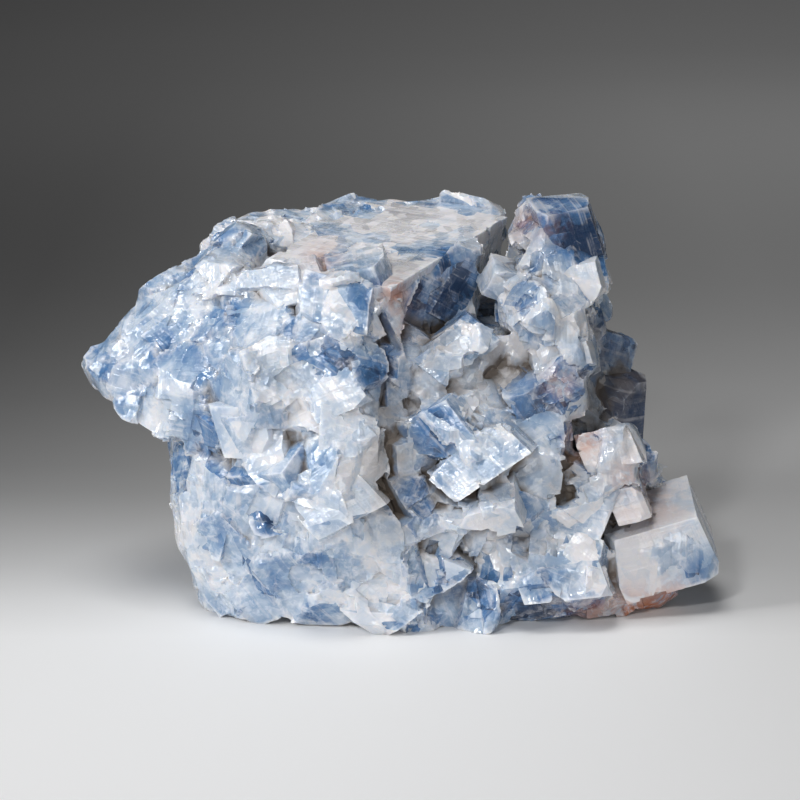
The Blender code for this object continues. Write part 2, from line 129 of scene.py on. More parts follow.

# Patches of colour: across, up, depth and radius in the front view (mm), strength. Some are painted
# shade and some painted light, as each list says
# blue patches, and on the valley wall and in the recess at the right, painted shade
blueAndPaintedShadeSpots = [
    (-32.5, 22.0, -42.0, 6.0, 0.6), (-29.5, 15.8, -42.0, 4.5, 0.85), (-47.5, 33.0, -29.5, 6.0, 0.55),
    (-28.5, 1.5, -40.5, 5.0, 0.75), (-42.0, 80.0, -8.0, 5.0, 0.45), (33.0, -4.0, -38.0, 9.0, 0.6),
    (-56.0, 54.0, -18.0, 14.0, 0.45), (-25.0, 72.0, -20.0, 9.0, 0.3), (-40.0, 20.0, -36.0, 9.0, 0.3),
    (-38.0, 68.2, -15.0, 4.5, 0.85), (-38.5, 63.8, -20.0, 4.0, 0.8), (69.8, 2.8, -31.0, 7.5, 1.0),
    (29.0, 15.0, -30.0, 5.0, 0.6), (-20.0, 8.0, -40.0, 6.0, 0.6), (12.0, 2.0, -42.0, 7.0, 0.65),
    (-49.0, 41.0, -22.0, 6.0, 0.75), (43.6, 78.6, -9.0, 7.5, 0.9), (58.4, 38.5, -4.0, 8.0, 1.0),
    (12.0, 73.0, -8.0, 7.0, 1.0), (5.0, 66.0, -18.0, 6.0, 0.8), (20.0, 64.0, -12.0, 6.0, 0.6),
    (-5.5, 50.0, -30.0, 5.0, 0.8), (8.0, 36.0, -38.0, 6.0, 0.55), (52.0, 60.0, 4.0, 8.0, 0.6),
    (-8.0, 68.0, -26.0, 6.0, 0.5), (33.0, 41.0, -28.0, 5.0, 0.5), (17.0, 56.0, -26.0, 5.0, 0.4),
]
# pale patches, and on the top plane, the hackly slope and the corner block, painted light
paleAndPaintedLightSpots = [
    (4.0, 79.0, -10.0, 8.0, 1.0), (16.0, 84.0, -2.0, 9.0, 1.0), (-6.0, 76.0, -14.0, 8.0, 0.8),
    (-24.0, 42.0, -40.0, 13.0, 0.5), (61.0, 8.0, -32.0, 10.0, 0.6), (10.0, 8.0, -42.0, 12.0, 0.4),
    (-10.0, 80.0, 0.0, 19.0, 0.7), (8.0, 3.0, -42.0, 10.0, 0.8), (56.0, 10.0, -36.0, 8.0, 0.8),
    (36.0, 48.0, -24.0, 8.0, 0.5), (30.0, 28.0, -36.0, 6.0, 0.4), (40.0, 66.0, -18.0, 8.0, 0.6),
    (-52.5, 64.6, -12.0, 5.0, 0.8), (-51.0, 47.0, -24.0, 6.0, 0.7), (0.0, 4.0, -42.0, 10.0, 0.5),
    (-17.0, 43.0, -40.0, 6.0, 0.6), (53.0, 33.0, -26.0, 6.0, 0.6),
    (24.0, 55.0, -24.0, 8.0, 0.7), (61.5, 17.7, -28.0, 7.0, 0.9), (-30.0, 30.0, -42.0, 7.0, 0.5),
    (52.0, 8.0, -34.0, 8.0, 0.6), (20.0, 38.0, -36.0, 5.0, 0.6), (30.0, 62.0, -20.0, 6.0, 0.6),
]
rustSpots = [
    (46.0, -7.5, -36.0, 6.0, 0.7), (64.0, -3.5, -26.0, 5.0, 1.0), (56.0, 24.0, -22.0, 4.0, 0.4),
    (34.6, 84.9, -5.0, 4.0, 0.4), (52.5, 26.5, -26.0, 4.0, 0.45), (42.5, 33.6, -28.0, 4.0, 0.6),
    (59.0, -6.0, -27.0, 6.0, 1.0), (52.0, -7.0, -33.0, 6.0, 0.7), (-0.5, 67.0, -25.0, 3.5, 0.8),
    (-17.9, 75.8, -12.0, 4.5, 0.45), (60.0, 20.0, -20.0, 5.0, 0.35), (2.0, 62.0, -26.0, 5.0, 0.4),
    (37.0, 47.0, -24.0, 3.5, 0.45), (53.0, 17.0, -30.0, 4.0, 0.25), (30.0, 84.0, 0.0, 4.0, 0.35),
    (55.0, -6.5, -30.0, 5.0, 1.0),
]
# dark patches: earth stains, and in the valley and the recess at the right, painted shade
paintedShadeAndEarthSpots = [
    (28.0, 82.0, 0.0, 6.0, 0.7), (-3.0, 25.0, -38.0, 5.0, 0.9), (31.0, 47.0, -24.0, 4.0, 0.5),
    (54.0, 50.0, -2.0, 14.0, 1.0), (-2.0, 32.0, -36.0, 6.0, 0.9), (46.0, 58.0, -8.0, 8.0, 0.7),
    (-2.0, 58.0, -28.0, 6.0, 0.6), (24.0, 70.0, -12.0, 9.0, 0.5), (36.0, 74.0, -10.0, 5.0, 0.6),
    (50.0, 45.0, -8.0, 13.0, 0.9), (-1.0, 20.0, -36.0, 7.0, 0.75), (38.6, 25.3, -30.0, 5.0, 0.9),
    (7.2, 57.5, -24.0, 7.0, 0.6), (-2.4, 42.0, -32.0, 5.0, 1.0), (23.0, 50.0, -26.0, 6.0, 0.8),
    (34.6, 62.7, -16.0, 4.0, 0.8), (30.0, 12.0, -34.0, 7.0, 0.5), (48.0, 57.0, -4.0, 9.0, 0.6),
]

# Smooth parts without small crystals: across, up, depth and radius in the front view (mm),
# and strength
calmSpots = [
    (42.0, 84.0, -4.0, 11.0, 1.0), (12.0, 80.0, -6.0, 9.0, 0.8), (62.0, 8.0, -30.0, 12.0, 0.8),
    (-70.0, 52.0, -12.0, 13.0, 1.0), (-14.0, 82.0, 2.0, 20.0, 0.5), (45.0, 78.0, -6.0, 8.0, 1.0),
    (-2.0, 70.0, -24.0, 8.0, 0.6), (6.0, 34.0, -38.0, 9.0, 0.8), (-33.0, 35.0, -38.0, 10.0, 0.6),
]

# The broken surface: cleavage rhombs joined to the stone or cut out of it, coarse to fine
surface = {
    "cell": 0.64,              # mm between measuring points
    "band": 3.2,               # mm of stone and air measured each side of the surface
    "seed": 7,
    "cleavageAngle": 101.92,   # degrees
    "grainSpacing": 19.0,      # mm
    "grainSoftness": 3.4,      # mm, over which the stone's general slope is read for them
    "grainJitter": 7.0,        # degrees, between the crystals of one grain
    "alongJitter": 1.5,        # degrees, between a small crystal and the face that it lies along
    "grainTint": (1.6, 2.1),   # spread of tint over the grains, as a beta distribution
    "crystalTint": (1.3, 1.9),  # spread of tint over the crystals in a grain
    "ownTint": 0.4,            # share of a crystal's tint that is its own, not its grain's
    "crystalMilk": (1.2, 2.4),  # spread of milk
    "skinWear": (0.1, 0.7),
    "layerWear": (0.1, 0.9),
    "cleftLooks": (0.62, 0.1, 0.5),  # tint, milk and wear of the walls of the clefts
    "featurePull": 0.07,       # how far a vertex may be drawn back from a sharp corner
    "triangles": 192000,
    "sharpAngle": 28.0,        # degrees between two faces from which their edge is sharp
    "boxMargin": 0.02,         # mm that the surface stays inside the plain stone's box
    # per layer: spacing and sizes (mm), share cut out, height of a top face and depth of a
    # cut floor (mm), most lean (degrees), fewest and most broken corners, patchiness (0
    # everywhere to 1 nowhere), and whether each crystal lies along the face that it sits on
    "layers": [
        (5.6, (3.0, 9.0), 1.0, (0.05, 0.2), (0.12, 0.5), 6, (1, 3), 0.3, True),
        (3.4, (2.2, 4.2), 0.6, (-0.3, 0.05), (0.1, 0.35), 26, (1, 3), 0.68, False),
        (2.5, (1.4, 2.8), 0.5, (-0.3, 0.05), (0.1, 0.25), 30, (1, 3), 0.72, False),
    ],
    "layerSoftness": 1.9,      # mm, over which the general slope is read for these layers
    "patchEdge": 8.0,          # how sharply the patches of these layers end
    "chipForward": (0.45, 0.95),  # how far a broken corner looks the way its crystal does
    "chipAslant": 0.6,         # and how far it may look aside
    "chipped": (0.06, 0.42),   # least and most that a broken corner takes off
    "mostDeep": 0.75,          # mm, deepest that a crystal of these layers is cut out
    "alongFlat": 0.86,         # cosine between face and general slope for one to lie along it
    "namedSunk": 1.8,          # mm that a named crystal lies deeper than its place says
    "namedChipped": (0.04, 0.3),
    "namedCalm": (0.46, 4.0),  # share of its size each side of the middle, and mm of depth,
                               # that small crystals keep off
    "namedKept": 0.35,         # named crystals less worn than this are not cut into at all
}

# The grains that fill the skin of the stone
skin = {
    "fuseRadius": 1.9,         # mm, how far the crystals of the plain stone are melted together
    "fuseKept": 0.3,           # share of their relief that stays
    "spacing": 8.6,            # mm between the middles of the grains
    "softness": 3.6,           # mm, over which the general slope is read for them
    "unevenness": 1.1,         # how far the grains differ in size
    "settled": 2.0,            # degrees between a grain's face and the slope, before its lean
    "lean": 14,                # degrees, most lean of a grain's face
    "sloping": 0.72,           # share of the neighbours that slope into each other
    "slopeWidth": 1.15,        # mm each side of the border that such a slope takes
    "offset": 0.22,            # mm, how far a face may lie in or out
    "stepAt": (1.2, 4.6),      # mm from the grain's middle to its steps
    "step": (0.05, 0.4),       # mm, height of a step
    "rise": 0.8,               # mm, most above the plain stone
    "sink": 1.4,               # mm, most below it
}


def fromFrontView(places):
    # across and depth stay, and the height is taken back out of the tilted picture
    places = np.atleast_2d(np.asarray(places, float))
    tilt = math.radians(frontView["tilt"])
    across, up, depth = places[:, 0], places[:, 1], places[:, 2]
    height = (up - depth * math.sin(tilt)) / math.cos(tilt)
    flat = np.stack([across, depth, height], axis=1)
    return (flat + frontView["shift"]) * frontView["stretch"]


def rhombEdges():
    # a unit cube sheared so that each pair of its edges meets at the cleavage angle
    angle = math.radians(surface["cleavageAngle"])
    c, s = math.cos(angle), math.sin(angle)
    lean = (c - c * c) / s
    rise = math.sqrt(1.0 - c * c - lean * lean)
    return np.array([[1.0, c, c], [0.0, s, lean], [0.0, 0.0, rise]])


def faceNormals(edges):
    # one for each pair of a rhomb's faces, square to the two edges that span them
    normals = np.cross(edges[:, [1, 2, 0]].T, edges[:, [2, 0, 1]].T)
    return normals / np.linalg.norm(normals, axis=1)[:, None]


def facing(turn, lift, roll):
    # columns: along the face, across it, out of it
    a, e, r = np.radians([turn, lift, roll])
    outward = np.array([math.sin(a) * math.cos(e), -math.cos(a) * math.cos(e), math.sin(e)])
    level = np.array([math.cos(a), math.sin(a), 0.0])
    along = level * math.cos(r) + np.cross(outward, level) * math.sin(r)
    return np.stack([along, np.cross(outward, along), outward], axis=1)


def turnAbout(axis, angle):
    k = np.array([[0, -axis[2], axis[1]], [axis[2], 0, -axis[0]], [-axis[1], axis[0], 0]])
    return np.eye(3) + math.sin(angle) * k + (1 - math.cos(angle)) * (k @ k)


def randomTurn(rng, degrees=None):
    # a turn about a random axis, by any angle or by a small one
    axis = rng.normal(size=3)
    angle = rng.uniform(0, math.tau) if degrees is None else math.radians(rng.normal() * degrees)
    return turnAbout(axis / np.linalg.norm(axis), angle)


def stoneTriangles(node):
    mesh = node.data
    mesh.calc_loop_triangles()
    points = np.empty(len(mesh.vertices) * 3, np.float32)
    mesh.vertices.foreach_get("co", points)
    corners = np.empty(len(mesh.loop_triangles) * 3, np.int32)
    mesh.loop_triangles.foreach_get("vertices", corners)
    return points.reshape(-1, 3)[corners.reshape(-1, 3)].astype(float) * 1000.0


class Field:
    # signed distance on a box of points, with the plane that sets each distance

    def __init__(self, low, high):
        # the odd shift keeps the measuring points off the stone's own level faces
        self.cell = surface["cell"]
        margin = surface["band"] + self.cell
        self.low = low - margin + np.array([0.0137, 0.0219, 0.0173])
        self.size = np.ceil((high + margin - self.low) / self.cell).astype(int) + 1
        self.axes = [self.low[k] + self.cell * np.arange(self.size[k]) for k in range(3)]
        self.distance = np.full(self.size, surface["band"], np.float32)
        self.plane = np.zeros(self.size, np.int32)
        self.seam = np.full(self.size, 9.0, np.float32)    # mm to the next grain
        self.follows = np.zeros(self.size, bool)           # sunk along the old surface
        self.normals = [np.zeros((1, 3))]
        self.offsets = [np.zeros(1)]
        self.owners = [np.zeros(1, np.int32)]
        self.planeCount = 1
        self.ownerCount = 1

    def addPlanes(self, normals, offsets, owner):
        first = self.planeCount
        self.normals.append(normals)
        self.offsets.append(offsets)
        self.owners.append(np.full(len(offsets), owner, dtype=np.int32))
        self.planeCount += len(offsets)
        return first

    def window(self, low, high):
        start = np.clip(np.ceil((low - self.low) / self.cell).astype(int), 0, self.size)
        stop = np.clip(np.floor((high - self.low) / self.cell).astype(int) + 1, 0, self.size)
        return tuple(slice(a, b) for a, b in zip(start, stop))

    def tables(self):
        return (np.concatenate(self.normals).astype(np.float32),
                np.concatenate(self.offsets).astype(np.float32), np.concatenate(self.owners))


def measureTriangles(field, triangles):
    # each triangle lowers the distance of the points near it to its own: to its plane where
    # the point stands over it, and to its nearest edge elsewhere
    band = surface["band"]
    a, b, c = triangles[:, 0], triangles[:, 1], triangles[:, 2]
    normals = np.cross(b - a, c - a)
    lengths = np.linalg.norm(normals, axis=1)
    good = lengths > 1e-7
    a, b, c, normals = a[good], b[good], c[good], normals[good] / lengths[good, None]
    offsets = np.einsum("ij,ij->i", normals, a)
    first = field.addPlanes(normals, offsets, 0)
    lows = np.minimum(np.minimum(a, b), c) - band
    highs = np.maximum(np.maximum(a, b), c) + band
    for k in range(len(a)):
        box = field.window(lows[k], highs[k])
        x, y, z = (field.axes[m][box[m]] for m in range(3))
        n = normals[k]
        height = ((n[0] * x - offsets[k])[:, None, None] + (n[1] * y)[:, None]) + n[2] * z
        known = field.distance[box]
        near = np.nonzero(np.abs(height) < known)
        if not len(near[0]):
            continue
        points = np.stack([x[near[0]], y[near[1]], z[near[2]]], axis=1)
        over = np.ones(len(points), bool)
        reach = np.full(len(points), 1e9)
        for p, q in ((a[k], b[k]), (b[k], c[k]), (c[k], a[k])):
            side = q - p
            away = points - p
            over &= away @ np.cross(n, side) >= 0
            share = np.clip(away @ side / (side @ side), 0.0, 1.0)
            reach = np.minimum(reach, ((away - share[:, None] * side) ** 2).sum(axis=1))
        reach = np.where(over, np.abs(height[near]), np.sqrt(reach))
        closer = reach < known[near]
        picked = tuple(m[closer] for m in near)
        known[picked] = reach[closer]
        field.plane[box][picked] = first + k


def markInside(field, triangles):
    # every triangle is laid over the upright columns that cross it, and the crossings below
    # a point are added up: more ways in than out means stone
    change = np.zeros(field.size, np.int8)
    xAxis, yAxis = field.axes[0], field.axes[1]
    a, b, c = triangles[:, 0], triangles[:, 1], triangles[:, 2]
    area = (b[:, 0] - a[:, 0]) * (c[:, 1] - a[:, 1]) - (b[:, 1] - a[:, 1]) * (c[:, 0] - a[:, 0])
    lows = triangles[:, :, :2].min(axis=1)
    highs = triangles[:, :, :2].max(axis=1)
    start = np.ceil((lows - field.low[:2]) / field.cell).astype(int)
    stop = np.floor((highs - field.low[:2]) / field.cell).astype(int) + 1
    for k in np.flatnonzero((np.abs(area) > 1e-12) & (stop > start).all(axis=1)):
        x = xAxis[start[k, 0]:stop[k, 0], None]
        y = yAxis[None, start[k, 1]:stop[k, 1]]
        wa = (b[k, 0] - x) * (c[k, 1] - y) - (b[k, 1] - y) * (c[k, 0] - x)
        wb = (c[k, 0] - x) * (a[k, 1] - y) - (c[k, 1] - y) * (a[k, 0] - x)
        wc = (a[k, 0] - x) * (b[k, 1] - y) - (a[k, 1] - y) * (b[k, 0] - x)
        sign = 1.0 if area[k] > 0 else -1.0
        hit = np.nonzero((wa * sign > 0) & (wb * sign > 0) & (wc * sign > 0))
        if len(hit[0]):
            z = (wa * a[k, 2] + wb * b[k, 2] + wc * c[k, 2])[hit] / area[k]
            level = np.ceil((z - field.low[2]) / field.cell).astype(int)
            spot = (hit[0] + start[k, 0], hit[1] + start[k, 1], level)
            np.add.at(change, spot, -1 if sign > 0 else 1)
    inside = np.cumsum(change, axis=2, dtype=np.int16) > 0
    field.distance[inside] *= -1.0


def shapeRhomb(field, edges, middle, chips, cutOut, mostDeep=99.0):
    # the rhomb is where every one of its planes lies ahead; joined to the stone it takes the
    # smaller distance, cut out it takes the larger of the stone's and its own turned round,
    # and a cut that would go deeper than mostDeep (mm) follows the old surface at that depth
    n = faceNormals(edges)
    half = 0.5 * np.abs((edges.T * n).sum(axis=1))
    normals = np.concatenate([n, -n, chips[0]])
    offsets = np.concatenate([half + n @ middle, half - n @ middle, chips[1] + chips[0] @ middle])
    reach = 0.5 * np.abs(edges).sum(axis=1) + (0.4 if cutOut else surface["band"])
    box = field.window(middle - reach, middle + reach)
    x, y, z = (field.axes[m][box[m]].astype(np.float32) for m in range(3))
    if min(len(x), len(y), len(z)) == 0:
        return
    best, which = None, None
    for k, (normal, offset) in enumerate(zip(normals.astype(np.float32), offsets)):
        d = ((normal[0] * x - np.float32(offset))[:, None, None] + (normal[1] * y)[:, None])
        d = d + normal[2] * z
        if best is None:
            best, which = d, np.zeros(d.shape, np.int32)
        else:
            ahead = d > best
            best = np.where(ahead, d, best)
            which[ahead] = k
    owner = field.ownerCount
    field.ownerCount += 1
    known = field.distance[box]
    if cutOut:
        first = field.addPlanes(-normals, -offsets, owner)
        taken = -best > known
        follows = taken & (-best > known + mostDeep)
        known[taken] = np.minimum(-best, known + np.float32(mostDeep))[taken]
    else:
        first = field.addPlanes(normals, offsets, owner)
        taken = best < known
        follows = np.zeros_like(taken)
        known[taken] = best[taken]
    field.follows[box][taken] = follows[taken]
    taken &= ~follows
    field.plane[box][taken] = first + which[taken]


def chipPlanes(edges, outward, rng, count, least, most):
    # planes that break corners off the shown side
    normals = outward * rng.uniform(*surface["chipForward"], (count, 1))
    normals = normals + rng.normal(size=(count, 3)) * surface["chipAslant"]
    normals /= np.linalg.norm(normals, axis=1)[:, None]
    reach = 0.5 * np.abs(normals @ edges).sum(axis=1)
    return normals, reach * (1.0 - rng.uniform(least, most, count))


def blurred(values, reach):
    # the mean in a cube round every point, by running sums along each axis
    for axis in range(3):
        values = np.moveaxis(values, axis, 0)
        padded = np.concatenate([np.repeat(values[:1], reach + 1, 0), values,
                                 np.repeat(values[-1:], reach, 0)])
        total = np.cumsum(padded, axis=0, dtype=np.float64)
        values = ((total[2 * reach + 1:] - total[:-2 * reach - 1]) / (2 * reach + 1))
        values = np.moveaxis(values.astype(np.float32), 0, axis)
    return values


def soften(field, radius):
    # the share of stone round every point
    reach = max(1, int(round(radius / field.cell)))
    return blurred((field.distance < 0).astype(np.float32), reach)


def fuse(field):
    # the crystals of the plain stone are melted together: the distance is blurred twice, part
    # of the old one is kept, and every point but the band's rim gets the plane that it implies
    reach = max(1, int(round(skin["fuseRadius"] / field.cell)))
    band = surface["band"]
    old = np.clip(field.distance, -band, band)
    melted = blurred(blurred(old, reach), reach)
    mixed = (1 - skin["fuseKept"]) * melted + skin["fuseKept"] * old
    field.distance = np.ascontiguousarray(mixed, np.float32)
    followSlope(field, np.flatnonzero(np.abs(field.distance) < band * 0.93), 0)


def followSlope(field, spot, owners):
    # gives each of these points a plane of its own, as the distances round it imply
    ijk = np.unravel_index(spot, field.size)
    normals = np.stack([slope[ijk] for slope in np.gradient(field.distance)], axis=1)
    normals /= np.linalg.norm(normals, axis=1)[:, None] + 1e-9
    points = np.stack([field.axes[m][ijk[m]] for m in range(3)], axis=1)
    offsets = (normals * points).sum(axis=1) - field.distance.ravel()[spot]
    first = field.addPlanes(normals.astype(np.float32), offsets.astype(np.float32), owners)
    field.plane.ravel()[spot] = first + np.arange(len(spot))


def readAt(field, values, places):
    # values between the measuring points, weighted by nearness to the eight round each place
    at = (places - field.low) / field.cell
    base = np.clip(np.floor(at).astype(int), 0, field.size - 2)
    part = (at - base).astype(np.float32)
    found = np.zeros(len(places), np.float32)
    for corner in np.ndindex(2, 2, 2):
        weight = np.prod(np.where(np.array(corner), part, 1 - part), axis=1)
        found += weight * values[tuple((base + corner).T)]
    return found


def surfacePoints(field, spacing, softness, rng):
    # points just inside the surface, moved out to it along the plane that is nearest, with
    # the general slope there: the way in which the softened stone thins out, and with that
    # plane's own normal and crystal
    inside = np.flatnonzero((field.distance <= 0) & (field.distance > -field.cell))
    count = int(len(inside) * field.cell ** 2 / spacing ** 2)
    picked = rng.choice(inside, size=count, replace=False)
    ijk = np.stack(np.unravel_index(picked, field.size), axis=1)
    tables = field.tables()
    normals, owners = (tables[k][field.plane.ravel()[picked]] for k in (0, 2))
    places = field.low + ijk * field.cell - normals * field.distance.ravel()[picked][:, None]
    soft = soften(field, softness)
    slope = np.zeros_like(places)
    for axis in range(3):
        step = np.zeros(3)
        step[axis] = 2 * field.cell
        slope[:, axis] = readAt(field, soft, places - step) - readAt(field, soft, places + step)
    slope /= np.linalg.norm(slope, axis=1)[:, None] + 1e-9
    return places, slope, normals.astype(float), owners


def nearestGrains(field, middles, weight):
    # for every point the two grains whose middles are nearest, as squared distances less the
    # grain's weight, and the numbers of those grains
    reach = 2.0 * skin["spacing"]
    near = [np.full(field.size, 1e6, np.float32) for _ in range(2)]
    whose = [np.full(field.size, -1, np.int16) for _ in range(2)]
    for k in range(len(middles)):
        box = field.window(middles[k] - reach, middles[k] + reach)
        x, y, z = (((field.axes[m][box[m]] - middles[k, m]) ** 2).astype(np.float32) for m in range(3))
        d = ((x - np.float32(weight[k]))[:, None, None] + y[:, None]) + z
        first, second = near[0][box], near[1][box]
        owner, runner = whose[0][box], whose[1][box]
        closer = d < first
        later = ~closer & (d < second)
        runner[...] = np.where(closer, owner, np.where(later, k, runner))
        second[...] = np.where(closer, first, np.where(later, d, second))
        owner[closer] = k
        first[closer] = d[closer]
    return near, whose


def growGrains(field, middles, main, side, other, firstOwner, rng):
    # grains without gaps: a point belongs to the nearest grain, and each grain ends outward in
    # three steps of its own cleavage plane. main, side and other hold each grain's plane
    # normals and offsets, one row each
    count = len(middles)
    weight = rng.uniform(0.0, skin["unevenness"] * skin["spacing"] ** 2, count)
    near, whose = nearestGrains(field, middles, weight)
    touched = np.abs(field.distance) < skin["sink"] + 0.3
    spot = np.flatnonzero(touched & (whose[1] >= 0))
    ijk = np.unravel_index(spot, field.size)
    points = np.stack([field.axes[m][ijk[m]] for m in range(3)], axis=1).astype(np.float32)
    one, two = (w.ravel()[spot].astype(int) for w in whose)
    drops = np.sort(rng.uniform(*skin["step"], (count, 2)), axis=1)
    drops[:, 1] += drops[:, 0]
    tables = [main[0], main[0], main[0], side[0], other[0]]
    levels = [main[1], main[1] - drops[:, 0], main[1] - drops[:, 1], side[1], other[1]]
    first = field.addPlanes(np.stack(tables, axis=1).reshape(-1, 3),
                            np.stack(levels, axis=1).ravel(),
                            np.repeat(firstOwner + np.arange(count), 5))

    def heightOver(grain):
        # the lowest of three: the top step behind both walls, the middle one behind the
        # second wall, and the bottom one
        a = (points * main[0][grain]).sum(axis=1) - main[1][grain]
        b = (points * side[0][grain]).sum(axis=1) - side[1][grain]
        c = (points * other[0][grain]).sum(axis=1) - other[1][grain]
        middle = a + drops[grain, 0]
        choice = np.stack([np.maximum(np.maximum(a, b), c), np.maximum(middle, c),
                           a + drops[grain, 1]])
        lowest = choice.argmin(axis=0)
        top = np.where(a >= np.maximum(b, c), 0, np.where(b >= c, 3, 4))
        plane = np.where(lowest == 0, top, np.where(lowest == 1, np.where(middle >= c, 1, 4), 2))
        return choice.min(axis=0), first + 5 * grain + plane

    heightOne, planeOne = heightOver(one)
    heightTwo, _ = heightOver(two)
    apart = np.linalg.norm(middles[two] - middles[one], axis=1)
    wall = (near[1].ravel()[spot] - near[0].ravel()[spot]) / (2 * apart)
    field.seam.ravel()[spot] = wall

    # most neighbours slope into each other, the others end in a wall: each pair draws its
    # chance from a table by its two numbers
    chances = rng.random(997)
    pairNumber = np.minimum(one, two) * 31 + np.maximum(one, two)
    sloping = chances[pairNumber % len(chances)] < skin["sloping"]
    onWall = ((heightOne < 0) != (heightTwo < 0)) & (wall < np.abs(heightOne)) & ~sloping
    stone = np.where(heightOne < 0, one, two)[onWall]
    air = np.where(heightOne < 0, two, one)[onWall]
    pairs, pair = np.unique(stone * count + air, return_inverse=True)
    a, b = pairs // count, pairs % count
    across = middles[b] - middles[a]
    length = np.linalg.norm(across, axis=1)
    power = (middles ** 2).sum(axis=1) - weight
    wallFirst = field.addPlanes(across / length[:, None], (power[b] - power[a]) / (2 * length),
                                firstOwner + a)
    height, plane = heightOne, planeOne
    height[onWall] = np.where(heightOne[onWall] < 0, -wall[onWall], wall[onWall])
    plane[onWall] = wallFirst + pair.ravel()
    sloping &= wall < skin["slopeWidth"]
    share = 0.5 + 0.5 * wall[sloping] / skin["slopeWidth"]
    height[sloping] = share * heightOne[sloping] + (1 - share) * heightTwo[sloping]

    # never far from the plain stone
    plain, plainPlane = field.distance.ravel()[spot], field.plane.ravel()[spot]
    normals, offsets, _ = field.tables()
    for shift, worse in ((skin["rise"], np.greater), (-skin["sink"], np.less)):
        taken = np.flatnonzero(worse(plain - shift, height))
        old = plainPlane[taken]
        moved = field.addPlanes(normals[old], offsets[old] + shift, 0)
        height[taken] = plain[taken] - shift
        plane[taken] = moved + np.arange(len(taken))
        sloping[taken] = False
    field.distance.ravel()[spot] = height
    field.plane.ravel()[spot] = plane
    followSlope(field, spot[sloping], firstOwner + one[sloping])


def patches(places):
    # slow waves in three directions, added up: 0 to 1, in patches a few centimetres across
    waves = np.array([[0.21, 0.13, -0.08], [-0.11, 0.19, 0.17], [0.09, -0.16, 0.23]])
    total = np.sin(places @ waves.T + np.array([0.4, 2.1, 4.0])).sum(axis=1)
    fine = np.sin(places @ (waves[::-1].T * 2.3) + np.array([1.0, 3.1, 0.2])).sum(axis=1)
    return np.clip(0.5 + 0.17 * total + 0.1 * fine, 0.0, 1.0)


def spotWeight(places, spots):
    # each spot fades like a bell round its place, and reaches further along the depth
    strength = np.zeros(len(places), np.float32)
    for across, up, depth, radius, amount in spots:
        away = places - fromFrontView((across, up, depth))
        away[:, 1] *= 0.45
        strength = np.maximum(strength, amount * np.exp(-(away ** 2).sum(axis=1) / radius ** 2))
    return strength


def calmMask(places):
    # how smooth the stone is at each place: 1 less its wear on a named crystal's face, and as
    # the table of calm spots says elsewhere
    calm = np.zeros(len(places))
    share, depth = surface["namedCalm"]
    for place, turned, size, _, _, wear in namedCrystals.values():
        away = np.abs((places - fromFrontView(place)) @ facing(*turned))
        inFace = (away < (size[0] * share, size[1] * share, depth)).all(axis=1)
        calm = np.maximum(calm, np.where(inFace, 1.0 - wear, 0.0))
    return np.maximum(calm, 1.4 * spotWeight(places, calmSpots))


def keepInBox(field, low, high):
    # planes a hair inside the plain stone's own box, and level with it below
    margin = surface["boxMargin"]
    for k in range(3):
        axis = np.zeros(3)
        axis[k] = 1.0
        shape = [1, 1, 1]
        shape[k] = -1
        for sign, limit in ((1.0, high[k] - margin), (-1.0, -low[k] - (0.0 if k == 2 else margin))):
            d = (sign * field.axes[k] - limit).reshape(shape).astype(np.float32)
            first = field.addPlanes(sign * axis[None], np.array([limit]), 0)
            taken = d > field.distance
            field.distance = np.where(taken, d, field.distance)
            field.plane[taken] = first


